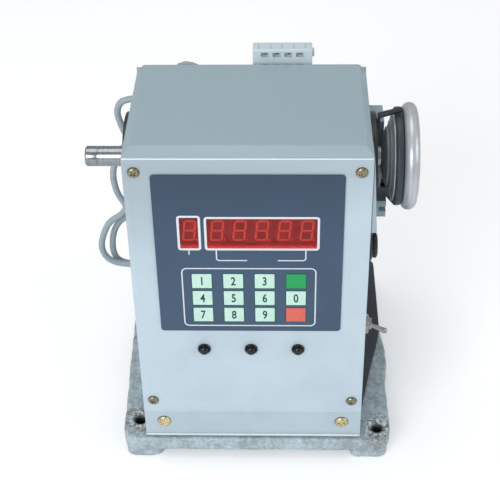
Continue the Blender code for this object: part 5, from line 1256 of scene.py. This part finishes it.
class WINDER_OT_front(PieceOperator, bpy.types.Operator):
    """The front panel, the skirt under it and their six screws"""

    bl_idname = "winder.front"
    bl_label = "Front panel and screws"

    def build(self, scene):
        show_solid("front_plate", "front_panel", "panel_paint", 0.35 * MM, 3)
        self.skirt()
        self.bare_edge_and_highlight()
        self.screws()

    def skirt(self):
        """The strip set back under the panel, its foot turned out in a round lip."""
        corner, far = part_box("skirt_plate")
        back = FRONT_Y + 1.5 * MM
        front = FRONT_Y + 0.6 * MM
        lip = front - 1.9 * MM
        side = [(back, corner.z), (lip, corner.z), (lip, corner.z + 1.7 * MM),
                (front, corner.z + 1.9 * MM), (front, far.z), (back, far.z)]
        side = eased([*side, side[0]], 0.75 * MM, 5)[:-1]
        skirt = plate_mesh("skirt", [side], "X", corner.x, far.x)
        show("skirt_strip", eased_mesh("skirt", skirt, 0.3 * MM), "skirt_paint",
             replaced=["skirt_plate"])
        # A near-white strip along the lip's edge: painted highlight
        wear_and_highlight = box_mesh("wear_and_highlight", (corner.x + MM, FRONT_Y - 1.36 * MM, corner.z + 0.9 * MM),
                       (far.x - MM, FRONT_Y - 0.6 * MM, corner.z + 1.8 * MM), 0.2 * MM)
        show("lip_edge", wear_and_highlight, "bare_edge_and_highlight")

    def bare_edge_and_highlight(self):
        """The panel's sheared top edge, bare of paint and near white as a painted highlight."""
        corner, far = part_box("front_panel")
        edge = box_mesh("edge", (corner.x + 0.4 * MM, FRONT_Y - 0.04 * MM, far.z - 0.8 * MM),
                        (far.x - 0.4 * MM, FRONT_Y + 1.5 * MM, far.z + 0.08 * MM), 0.1 * MM)
        show("panel_edge", edge, "bare_edge_and_highlight")

    def screws(self):
        """Cross-head screws, each with a dark ring round it: painted shadow under its head's edge,
        and dirt.
        """
        for nodes, diameter, finish, seed in ((PANEL_SCREWS, 6.5 * MM, "zinc_screw", 4),
                                              (SKIRT_SCREWS, 8.2 * MM, "brass_screw", 9)):
            head = screw_template(diameter, 1.7 * MM, diameter * 0.56)
            ring = turned_mesh("ring", rod(diameter * 0.53, -0.6 * MM, 0.05 * MM), "Z",
                               (0, 0, 0), 40)
            spots = []
            for node in nodes:
                centre = middle(node)
                face = FRONT_Y + (0.6 * MM if node in SKIRT_SCREWS else 0)
                spots.append((Vector((centre.x, face, centre.z)), (0, -1, 0)))
            mesh = scattered(finish + "s", head, spots, finish, spin=math.pi, seed=seed)
            show(finish + "s", mesh, finish, replaced=nodes)
            # Dark rings round the heads: painted shadow and dirt
            rings = scattered(finish + "_holes", ring, spots, "black_paint")
            show(finish + "_holes", rings, "black_paint")


KEY_X = (-27.7 * MM, -9.5 * MM, 8.7 * MM, 26.9 * MM)
KEY_Z = (145.7 * MM, 133.0 * MM, 120.3 * MM)
KEY_FACES = ("123g", "4560", "789r")
KEY_SIZE = (11.4 * MM, 10.3 * MM)


class WINDER_OT_keypad(PieceOperator, bpy.types.Operator):
    """The printed film with its lines, its twelve keys and their numbers"""

    bl_idname = "winder.keypad"
    bl_label = "Keypad"

    def build(self, scene):
        self.film(scene)
        self.lines()
        self.keys(scene)

    def film(self, scene):
        corners = rectangle(FILM_LOW.x, FILM_HIGH.x, FILM_LOW.z, FILM_HIGH.z)
        loops = [rounded(corners, 2 * MM)]
        for node in ("display_filter_small", "display_filter_large"):
            corner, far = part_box(node)
            window = rectangle(corner.x - CLEARANCE, far.x + CLEARANCE,
                               corner.z - CLEARANCE, far.z + CLEARANCE)
            loops.append(rounded(window, 0.8 * MM))
        film = plate_mesh("film", loops, "Y", FILM_FRONT, FILM_HIGH.y)
        show("printed_film", eased_mesh("film", film, 0.08 * MM, 1), "membrane_film",
             replaced=["keypad_membrane"])

    def lines(self):
        """The white lines round the windows and keys, and the two pointers under them."""
        outer = FILM_FRONT - 0.05 * MM
        inner = FILM_FRONT + 0.02 * MM
        frames = ((-40.3, -27.0, 168.0, 192.2, 1.35, 1.9), (-25.0, 40.0, 168.0, 191.4, 1.35, 1.9),
                  (-39.4, 38.6, 111.3, 155.2, 0.75, 3.2))
        made = []
        for left, right, bottom, top, width, corner in frames:
            loops = [rounded([(x * MM, z * MM) for x, z in rectangle(left, right, bottom, top)],
                             corner * MM)]
            inside = rectangle(left + width, right - width, bottom + width, top - width)
            loops.append(rounded([(x * MM, z * MM) for x, z in inside],
                                 max(corner - width, 0.5) * MM))
            made.append(plate_mesh("frame", loops, "Y", outer, inner))
        pointers = (((-34.2, 168.2), (-34.2, 165.0)),
                    ((-18.6, 167.9), (-18.6, 161.6), (-17.4, 160.7), (-1.2, 160.7)),
                    ((16.3, 160.7), (31.0, 160.7), (32.3, 161.6), (32.3, 167.9)))
        for path in pointers:
            made.append(self.stroke([Vector(point) * MM for point in path], 0.7 * MM, outer,
                                    inner))
        show("film_lines", joined("lines", made), "print_white")

    def stroke(self, path, width, outer, inner):
        """A flat line along a path."""
        left, right = [], []
        for i, point in enumerate(path):
            back = (point - path[i - 1]).normalized() if i else None
            ahead = (path[i + 1] - point).normalized() if i + 1 < len(path) else None
            way = ((back or ahead) + (ahead or back)).normalized()
            across = Vector((-way.y, way.x))
            lean = across.dot(Vector((-(back or ahead).y, (back or ahead).x)))
            left.append(point + across * width / 2 / lean)
            right.append(point - across * width / 2 / lean)
        outline = [tuple(point) for point in left + right[::-1]]
        return plate_mesh("stroke", [outline], "Y", outer, inner)

    def keys(self, scene):
        """Each key: a dark border, a raised cap and its number."""
        wide, tall = KEY_SIZE
        caps = {"key_pale": [], "key_green": [], "key_red": []}
        borders, numbers = [], []
        for z, row in zip(KEY_Z, KEY_FACES):
            for x, face in zip(KEY_X, row):
                finish = {"g": "key_green", "r": "key_red"}.get(face, "key_pale")
                corners = rectangle(x - wide / 2, x + wide / 2, z - tall / 2, z + tall / 2)
                cap = plate_mesh("cap", [rounded(corners, 0.5 * MM)], "Y",
                                 KEY_FRONT, FILM_FRONT + 0.1 * MM)
                caps[finish].append(eased_mesh("cap", cap, 0.14 * MM, 2))
                rim = 0.5 * MM
                corners = rectangle(x - wide / 2 - rim, x + wide / 2 + rim, z - tall / 2 - rim,
                                    z + tall / 2 + rim)
                borders.append(plate_mesh("border", [rounded(corners, 0.7 * MM)], "Y",
                                          FILM_FRONT - 0.04 * MM, FILM_FRONT + 0.02 * MM))
                if face.isdigit():
                    numbers.append(self.number(face, x, z, scene.winder_keypad.numeral))
        for finish, meshes in caps.items():
            show(finish + "_caps", joined(finish, meshes), finish)
        show("key_borders", joined("borders", borders), "key_edge")
        show("key_numbers", joined("numbers", numbers), "numeral_ink")

    def number(self, text, x, z, height):
        """A narrow bold numeral centred on its key."""
        curve = bpy.data.curves.new("numeral", "FONT")
        curve.body = text
        curve.size = height / 0.71
        curve.offset = 0.022 * curve.size
        curve.extrude = 0.03 * MM
        flat = curve_mesh("numeral", curve, Matrix.Identity(4))
        across = [vert.co.x for vert in flat.vertices]
        up = [vert.co.y for vert in flat.vertices]
        centre = Vector(((min(across) + max(across)) / 2, (min(up) + max(up)) / 2, 0))
        narrow = Matrix.Diagonal((0.68, 1, 1, 1))
        place = Matrix.Translation((x, KEY_FRONT, z)) @ FLAT_FRAMES["Y"].to_4x4()
        flat.transform(place @ narrow @ Matrix.Translation(-centre))
        return flat


DIGITS = [f"digit_module_{i}" for i in range(1, 7)]


class WINDER_OT_display(PieceOperator, bpy.types.Operator):
    """The red windows and the digits behind them"""

    bl_idname = "winder.display"
    bl_label = "Display"

    def build(self, scene):
        look = scene.winder_display
        for node in ("display_filter_small", "display_filter_large"):
            corner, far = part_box(node)
            pane = box_mesh(node, corner, (far.x, corner.y + 0.9 * MM, far.z), 0.2 * MM)
            show(node.replace("display_filter", "window"), pane, "red_filter", replaced=[node])
        figure = self.figure(look)
        spots = []
        for node in DIGITS:
            centre = middle(node)
            spots.append((Vector((centre.x, low(node).y, centre.z - look.drop)), (0, -1, 0)))
        digits = scattered("digit_bars", figure, spots, "digit_segment", pivot="X")
        show("digit_bars", digits, "digit_segment")
        for node in DIGITS:
            show_solid(node.replace("digit_module", "digit_block"), node, "digit_grey", 0.3 * MM)

    def figure(self, look):
        """A figure eight of seven bars and a point, standing in the XY plane."""
        half_w, half_h, bar = look.digit_width / 2, look.digit_height / 2, look.bar
        gap = bar * 0.16
        bars = []
        for y in (-half_h + bar / 2, 0, half_h - bar / 2):
            bars.append((Vector((-half_w + bar / 2 + gap, y)), Vector((half_w - bar / 2 - gap, y))))
        for x in (-half_w + bar / 2, half_w - bar / 2):
            for bottom, top in ((-half_h + bar / 2, 0), (0, half_h - bar / 2)):
                bars.append((Vector((x, bottom + gap)), Vector((x, top - gap))))
        lean = math.tan(look.slant)
        meshes = []
        for start, end in bars:
            way = (end - start).normalized()
            across = Vector((-way.y, way.x)) * bar / 2
            inset = way * bar / 2
            outline = [start, start + inset - across, end - inset - across, end,
                       end - inset + across, start + inset + across]
            outline = [(point.x + point.y * lean, point.y) for point in outline]
            meshes.append(plate_mesh("bar", [outline], "Z", -0.05 * MM, 0.12 * MM))
        dot_x = half_w + bar * 0.9 - half_h * lean
        meshes.append(plate_mesh("point", [circle(dot_x, -half_h + bar / 2, bar * 0.55)], "Z",
                                 -0.05 * MM, 0.12 * MM))
        return joined("figure", meshes)


class WINDER_OT_buttons(PieceOperator, bpy.types.Operator):
    """Three black push buttons with glossy domes in ringed bezels"""

    bl_idname = "winder.buttons"
    bl_label = "Push buttons"

    def build(self, scene):
        for i, body in ((1, "button_left"), (2, "button_middle"), (3, "button_right")):
            bezel, plunger = f"button_bezel_{i}", f"button_plunger_{i}"
            centre = middle(bezel)
            face = FRONT_Y - CLEARANCE
            front, end = low(bezel).y, high(bezel).y
            outline = [*profile(end, (0, -1), (3.1, -1)),
                       *profile(front, (3.1, 0), (3.5, 0), (3.9, 0.5)),
                       *profile(face, (3.9, 0), (3.5, 0)),
                       *profile(FRONT_Y + PANEL_DEPTH, (3.5, 0), (5, 0)),
                       *profile(end, (5, 0), (0, 0))]
            mesh = turned_mesh(bezel, outline, "Y", (centre.x, 0, centre.z), ROUND_STEPS,
                               0.12 * MM)
            show(f"bezel_{i}", mesh, "gloss_black", replaced=[bezel])
            tip, tail = low(plunger).y, high(plunger).y
            radius = 2.8 * MM
            dome = [(0, tip)]
            for step in range(1, 9):
                angle = math.pi / 2 * step / 8
                dome.append((radius * math.sin(angle), tip + 1.7 * MM * (1 - math.cos(angle))))
            dome += [(radius, tail), (0, tail)]
            mesh = turned_mesh(plunger, dome, "Y", (centre.x, 0, centre.z), ROUND_STEPS)
            show(f"plunger_{i}", mesh, "gloss_black", body, [plunger])


def groove():
    """Both pulleys' groove along X, a little wider than the belt."""
    return low("drive_belt").x - CLEARANCE, high("drive_belt").x + CLEARANCE


class WINDER_OT_spindle(PieceOperator, bpy.types.Operator):
    """The winding shaft, the stepped pulley with its round rim, and its set screw"""

    bl_idname = "winder.spindle"
    bl_label = "Spindle and pulley"

    def build(self, scene):
        look = scene.winder_wheel
        line = (0, SPINDLE_LINE.y, SPINDLE_LINE.z)
        body = "winding_spindle"
        left, right = low("spindle").x, high("spindle").x
        outline = [*profile(left, (0, 0), (0.9, 0), (1.3, 0.9), (1.9, 0), (5.2, 0), (6, 0.8),
                            (6, 6.8), (5.86, 6.9), (5.86, 7.5), (6, 7.6)),
                   *profile(right, (6, -0.8), (5.2, 0), (1.9, 0), (1.3, -0.9), (0.9, 0), (0, 0))]
        shaft = turned_mesh("shaft", outline, "X", line, look.steps, 0.06 * MM)
        show("winding_shaft", shaft, "bright_steel", body, ["spindle"])
        self.pulley(look, line, body)
        screw = profile(0, (0, 6.6), (1.5, 6.6), (1.5, 10.0), (1.2, 10.2), (0.75, 10.2),
                        (0.75, 8.9), (0, 8.9))
        x = middle("pulley_set_screw").x
        mesh = turned_mesh("set_screw", screw, "Z", (x, line[1], line[2]), 24)
        show("grub_screw", mesh, "black_paint", body, ["pulley_set_screw"])

    def pulley(self, look, line, body):
        """The cone's steps, the belt's groove, the rounded rim and its dished face."""
        left, right = low("drive_pulley").x, high("drive_pulley").x
        near, beyond = groove()
        cone_end = near - 0.5 * MM
        shares = ((0, 0), (0.5, 0.40), (0.52, 0.47), (0.44, 0.50), (0.44, 0.55), (0.69, 0.70),
                  (0.71, 0.74), (0.64, 0.77), (0.64, 0.81), (0.93, 0.93), (1, 0.97), (1, 1))
        outline = [(8 * MM + radius * 18 * MM, left + along * (cone_end - left))
                   for radius, along in shares]
        outline += [*profile(near, (26, 0), (24.6, 0)), *profile(beyond, (24.6, 0))]
        rim = high("drive_pulley").z - line[2]
        width = right - high("drive_belt").x - CLEARANCE
        for step in range(25):
            angle = math.pi * step / 24
            outline.append((rim - width / 2 * (1 - math.sin(angle)),
                            beyond + width / 2 * (1 - math.cos(angle))))
        dish = right - 4.5 * MM
        outline += [(rim - 6 * MM, right - 0.4 * MM), (rim - 9.2 * MM, dish), (12.5 * MM, dish),
                    (11 * MM, dish + 0.8 * MM), (11 * MM, right - 0.6 * MM),
                    (10.4 * MM, right), (6.3 * MM, right), (6.3 * MM, left)]
        wheel = turned_mesh("wheel", outline, "X", line, look.steps, look.ease)
        x = middle("pulley_set_screw").x
        hole = turned_mesh("hole", rod(1.8 * MM, 6 * MM, 13 * MM), "Z", (x, line[1], line[2]), 24)
        wheel = cut_mesh("wheel", wheel, [hole])
        show("pulley_wheel", wheel, "polished_aluminium", body, ["drive_pulley"])


class WINDER_OT_bearings(PieceOperator, bpy.types.Operator):
    """The black discs on both walls and the ball bearings in them"""

    bl_idname = "winder.bearings"
    bl_label = "Flanges and bearings"

    def build(self, scene):
        look = scene.winder_wheel
        line = (0, SPINDLE_LINE.y, SPINDLE_LINE.z)
        for side, name in ((-1, "left"), (1, "right")):
            thick = 2.7 * MM if side < 0 else 3.8 * MM
            seat = CASE_HIGH.x + CLEARANCE
            outer = seat + thick
            lip = outer - 0.8 * MM
            inner = lip - 10.3 * MM
            outline = [*profile(inner, (16.3, 0), (19, 0)), *profile(seat, (19, 0), (26, 0)),
                       *profile(outer, (26, -0.6), (25.4, 0), (18.4, 0), (18.0, -0.3),
                                (17.2, -0.3), (16.8, 0), (13, 0)),
                       *profile(lip, (13, 0), (16.3, 0))]
            self.turn(look, side, line, f"disc_{name}", outline, "black_paint",
                      f"flange_{name}", 0.2 * MM)
            right = lip - CLEARANCE
            left = right - 10 * MM
            ring = [*profile(left, (6.3, 0), (9.3, 0), (9.3, 0.6), (13, 0.6), (13, 0), (16, 0)),
                    *profile(right, (16, 0), (13, 0), (13, -0.5), (12.6, -0.8), (9.7, -0.8),
                             (9.3, -0.5), (9.3, 0), (6.3, 0))]
            self.turn(look, side, line, f"race_{name}", ring, "bearing_steel",
                      f"bearing_{name}", 0.15 * MM)

    def turn(self, look, side, line, name, outline, finish, node, ease):
        if side < 0:
            outline = [(radius, -along) for radius, along in reversed(outline)]
        mesh = turned_mesh(name, outline, "X", line, look.steps, ease)
        show(name, mesh, finish, replaced=[node])


class WINDER_OT_belt(PieceOperator, bpy.types.Operator):
    """The rubber belt round both pulleys"""

    bl_idname = "winder.belt"
    bl_label = "Drive belt"

    def build(self, scene):
        corner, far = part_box("drive_belt")
        thick, width = 3.7 * MM, far.x - corner.x
        large = 28.6 * MM - thick / 2
        small = 14.5 * MM - thick / 2
        offset = Vector((MOTOR_LINE.y - SPINDLE_LINE.y, MOTOR_LINE.z - SPINDLE_LINE.z))
        x = (corner.x + far.x) / 2
        towards = math.atan2(offset.y, offset.x)
        lean = math.acos((large - small) / offset.length)
        places = []
        for step in range(97):
            angle = towards + lean + (2 * math.pi - 2 * lean) * step / 96
            places.append((x, SPINDLE_LINE.y + large * math.cos(angle),
                           SPINDLE_LINE.z + large * math.sin(angle)))
        for step in range(49):
            angle = towards - lean + 2 * lean * step / 48
            places.append((x, MOTOR_LINE.y + small * math.cos(angle),
                           MOTOR_LINE.z + small * math.sin(angle)))
        line = bpy.data.meshes.new("belt_line")
        count = len(places)
        line.from_pydata(places, [(i, (i + 1) % count) for i in range(count)], [])
        values = {"Width": width, "Thickness": thick, "Corner": 1.1 * MM,
                  "Finish": finish_named("belt_rubber")}
        belt = grown("running_belt", line, belt_tree(), values)
        show("running_belt", belt, "belt_rubber", replaced=["drive_belt"])


class WINDER_OT_bracket(PieceOperator, bpy.types.Operator):
    """The painted casting round the right disc and the black arm over the pulley"""

    bl_idname = "winder.bracket"
    bl_label = "Bracket and sensor arm"

    def build(self, scene):
        show_solid("bearing_casting", "bearing_bracket", "case_paint", 0.7 * MM, 3)
        show_solid("arm_over_pulley", "sensor_arm", "black_plastic", 0.3 * MM, 3)


class WINDER_OT_side_controls(PieceOperator, bpy.types.Operator):
    """The toggle switch and the fuse holder on the right wall"""

    bl_idname = "winder.side_controls"
    bl_label = "Toggle and fuse holder"

    def build(self, scene):
        self.toggle()
        self.fuse()

    def toggle(self):
        show("toggle_case", solid_of("toggle_body", 0.2 * MM), "plain_steel",
             replaced=["toggle_body"])
        corner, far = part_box("toggle_nut")
        centre = middle("toggle_nut")
        nut = hex_template(11 * MM, far.x - corner.x)
        turn = Matrix.Translation((corner.x, centre.y, centre.z)) @ Matrix.Rotation(
            math.pi / 2, 4, "Y")
        nut.transform(turn)
        bore = turned_mesh("bore", rod(3.9 * MM, corner.x - OVERRUN, far.x + OVERRUN), "X",
                           (0, centre.y, centre.z), 40)
        shape = cut_mesh("nut", nut, [bore])
        show("toggle_hexagon", shape, "plain_steel", replaced=["toggle_nut"])
        pivot = Vector((70.3 * MM, -77 * MM, 100.7 * MM))
        outline = [(0, -2 * MM)]
        for step in range(1, 10):
            angle = math.pi * (step / 9) * 0.81
            outline.append((2 * MM * math.sin(angle), -2 * MM * math.cos(angle)))
        outline += profile(0, (1.15, 2.6), (1.55, 9), (1.8, 12.2), (1.6, 13.4), (1.0, 13.9),
                           (0, 14))
        lever = turned_mesh("lever", outline, "Z", (0, 0, 0), 40, 0.1 * MM)
        lean = Matrix.Rotation(math.pi / 2 + math.radians(26.8), 4, "Y")
        lever.transform(Matrix.Translation(pivot) @ lean)
        show("toggle_stick", lever, "plain_steel", "toggle", ["toggle_lever"])

    def fuse(self):
        centre = middle("fuse_holder")
        line = (0, centre.y, centre.z)
        seat = CASE_HIGH.x + CLEARANCE
        outer = seat + 2.2 * MM
        inner = low("fuse_holder").x
        floor = outer - 12 * MM
        holder = [*profile(inner, (0, 0), (6, 0)), *profile(seat, (6, 0), (9.4, 0)),
                  *profile(outer, (9.4, -1.1), (7.6, 0), (4, 0)), *profile(floor, (4, 0), (0, 0))]
        show("fuse_socket", turned_mesh("socket", holder, "X", line, 72, 0.15 * MM),
             "black_plastic", replaced=["fuse_holder"])
        top = high("fuse_cap").x
        cap = [*profile(floor + CLEARANCE, (0, 0), (3.7, 0)),
               *profile(outer + CLEARANCE, (3.7, 0), (7.2, 0)),
               *profile(top, (7.2, -0.8), (6.4, 0), (0, 0))]
        knob = turned_mesh("cap", cap, "X", line, 72, 0.15 * MM)
        slot = box_mesh("slot", (top - 1 * MM, centre.y - 4.4 * MM, centre.z - 0.6 * MM),
                        (top + 2 * MM, centre.y + 4.4 * MM, centre.z + 0.6 * MM))
        knob = cut_mesh("cap", knob, [slot])
        rib = box_mesh("rib", (-0.85 * MM, -0.22 * MM, -0.2 * MM),
                       (0.85 * MM, 0.22 * MM, 0.18 * MM), 0.08 * MM)
        spots = on_circle(centre, 7.2 * MM, 28, outer + 1.25 * MM)
        ribs = scattered("knurl", rib, spots, "black_plastic", pivot="X")
        show("fuse_knob", joined("knob", [knob, ribs]), "black_plastic", "fuse_carrier",
             ["fuse_cap"])


class WINDER_OT_motor(PieceOperator, bpy.types.Operator):
    """The ribbed motor, its pulley and the bracket that carries it"""

    bl_idname = "winder.motor"
    bl_label = "Motor"

    def build(self, scene):
        look = scene.winder_wheel
        line = (0, MOTOR_LINE.y, MOTOR_LINE.z)
        left = low("motor_body").x
        plate_far = high("motor_bracket").x
        face = 69.7 * MM
        outline = [*profile(left, (0, 0), (8, 0), (8.6, 0.8), (12, 0.8), (12.6, 0), (25, 0),
                            (28.5, 3), (28.5, 7), (29.3, 7)),
                   *profile(face, (29.3, -7), (28.5, -7), (28.5, 0), (11, 0)),
                   *profile(plate_far, (11, 0), (4.3, 0)), *profile(face, (4.3, -7), (0, -7))]
        case = turned_mesh("case", outline, "X", line, look.steps, 0.5 * MM)
        half = (face - left) / 2 - 7.6 * MM
        rib = box_mesh("rib", (-half, -0.55 * MM, -0.4 * MM), (half, 0.55 * MM, 0.7 * MM),
                       0.25 * MM)
        spots = on_circle(MOTOR_LINE, 29.3 * MM, 48, (left + face) / 2)
        ribs = scattered("fins", rib, spots, "motor_paint", pivot="X")
        show("motor_shell", joined("motor", [case, ribs]), "motor_paint",
             replaced=["motor_body"])
        bolt = screw_template(5.5 * MM, 1.8 * MM, 2.8 * MM)
        spots = [(place, (-1, 0, 0))
                 for place, _ in on_circle(MOTOR_LINE, 21 * MM, 4, left, turn=math.pi / 4)]
        bolts = scattered("motor_bolts", bolt, spots, "zinc_screw", spin=math.pi, seed=6)
        show("motor_bolts", bolts, "zinc_screw")
        nut = hex_template(7 * MM, 2.6 * MM)
        holds = scattered("bracket_bolts", nut,
                          on_circle(MOTOR_LINE, 21 * MM, 4, plate_far, True, math.pi / 4),
                          "zinc_screw", spin=1.0, seed=8)
        show("bracket_bolts", holds, "zinc_screw")
        show_solid("motor_stand", "motor_bracket", "black_paint", 0.6 * MM, 3)
        self.rotor(look, line)

    def rotor(self, look, line):
        left, right = low("motor_shaft").x, high("motor_shaft").x
        shaft = [*profile(left, (0, 0), (4, 0)), *profile(right, (4, -0.5), (3.5, 0), (0, 0))]
        show("rotor_shaft", turned_mesh("rotor", shaft, "X", line, look.steps), "bright_steel",
             "motor_rotor", ["motor_shaft"])
        left, right = low("motor_pulley").x, high("motor_pulley").x
        near, beyond = groove()
        wheel = [*profile(left, (4.3, 0), (7.5, 0)),
                 *profile(near, (7.5, -1.6), (16.4, -1.6), (17, -1.0), (17, -0.4), (16.4, 0),
                          (10.5, 0)),
                 *profile(beyond, (10.5, 0), (16.4, 0), (17, 0.4)),
                 *profile(right, (17, -0.5), (16.4, 0), (12, 0), (11.4, -0.6), (7, -0.6),
                          (6.4, 0), (4.3, 0))]
        mesh = turned_mesh("rotor_wheel", wheel, "X", line, look.steps, 0.2 * MM)
        show("rotor_wheel", mesh, "polished_aluminium", "motor_rotor", ["motor_pulley"])


class WINDER_OT_rear_fittings(PieceOperator, bpy.types.Operator):
    """The gland, the mains inlet and the wire connector's holder"""

    bl_idname = "winder.rear_fittings"
    bl_label = "Rear fittings"

    def build(self, scene):
        self.gland()
        show_solid("mains_socket", "mains_inlet", "black_plastic", 0.3 * MM)
        show_solid("holder_tab", "connector_holder", "galvanised", 0.3 * MM)

    def gland(self):
        centre = middle("cable_gland")
        outline = profile(CASE_REAR, (0, -8), (4.7, -8), (4.7, 0.3), (7, 0.3), (7, 2.4),
                          (6.5, 2.8), (5.5, 2.8), (5.2, 4.6), (4.5, 4.9), (4.4, 5.6), (4.7, 5.9),
                          (4.1, 6.7), (3.8, 7.0), (3.6, 8.5), (0, 8.5))
        mesh = turned_mesh("gland", outline, "Y", (centre.x, 0, centre.z), ROUND_STEPS, 0.2 * MM)
        show("strain_relief", mesh, "black_plastic", replaced=["cable_gland"])


class WINDER_OT_inside(PieceOperator, bpy.types.Operator):
    """The transformer and the boards inside the case"""

    bl_idname = "winder.inside"
    bl_label = "Inside the case"

    def build(self, scene):
        show_solid("laminated_core", "transformer", "transformer_core", 0.4 * MM)
        for node in ("control_board", "display_board"):
            show_solid(node + "_printed", node, "circuit_green", 0.1 * MM, 1)


class WINDER_OT_finishes(PieceOperator, bpy.types.Operator):
    """The finishes of all slots, given to the solids that stay as they are"""

    bl_idname = "winder.finishes"
    bl_label = "Finishes"

    def build(self, scene):
        made = make_finishes(scene)
        slots = {part["node"]: part["material_slot"] for part in frame["record"]["subparts"]}
        for name, node in frame["nodes"].items():
            finish = made[slots[name]]
            if not node.material_slots:
                node.data.materials.append(finish)
            for holder in node.material_slots:
                holder.material = finish


OPERATORS = (
    WINDER_OT_stage, WINDER_OT_finishes, WINDER_OT_signal_cable, WINDER_OT_base, WINDER_OT_case,
    WINDER_OT_front, WINDER_OT_keypad, WINDER_OT_display, WINDER_OT_buttons, WINDER_OT_spindle,
    WINDER_OT_bearings, WINDER_OT_belt, WINDER_OT_bracket, WINDER_OT_side_controls,
    WINDER_OT_motor, WINDER_OT_rear_fittings, WINDER_OT_inside,
)


class WINDER_PT_pieces(bpy.types.Panel):
    """The pieces of the winding machine and their settings"""

    bl_label = "Coil winder"
    bl_idname = "WINDER_PT_pieces"
    bl_space_type = "VIEW_3D"
    bl_region_type = "UI"
    bl_category = "Coil winder"

    def draw(self, context):
        for operator in OPERATORS:
            self.layout.operator(operator.bl_idname)
        for name, group in SETTINGS.items():
            box = self.layout.box()
            settings = getattr(context.scene, name)
            for field in group.__annotations__:
                box.prop(settings, field)


CLASSES = (*SETTINGS.values(), *OPERATORS, WINDER_PT_pieces)


def register():
    for item in CLASSES:
        bpy.utils.register_class(item)
    for name, group in SETTINGS.items():
        setattr(bpy.types.Scene, name, PointerProperty(type=group))


def unregister():
    for name in SETTINGS:
        delattr(bpy.types.Scene, name)
    for item in reversed(CLASSES):
        bpy.utils.unregister_class(item)


def main():
    """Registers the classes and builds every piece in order."""
    register()
    for operator in OPERATORS:
        group, name = operator.bl_idname.split(".")
        getattr(getattr(bpy.ops, group), name)()


if __name__ == "__main__":
    main()
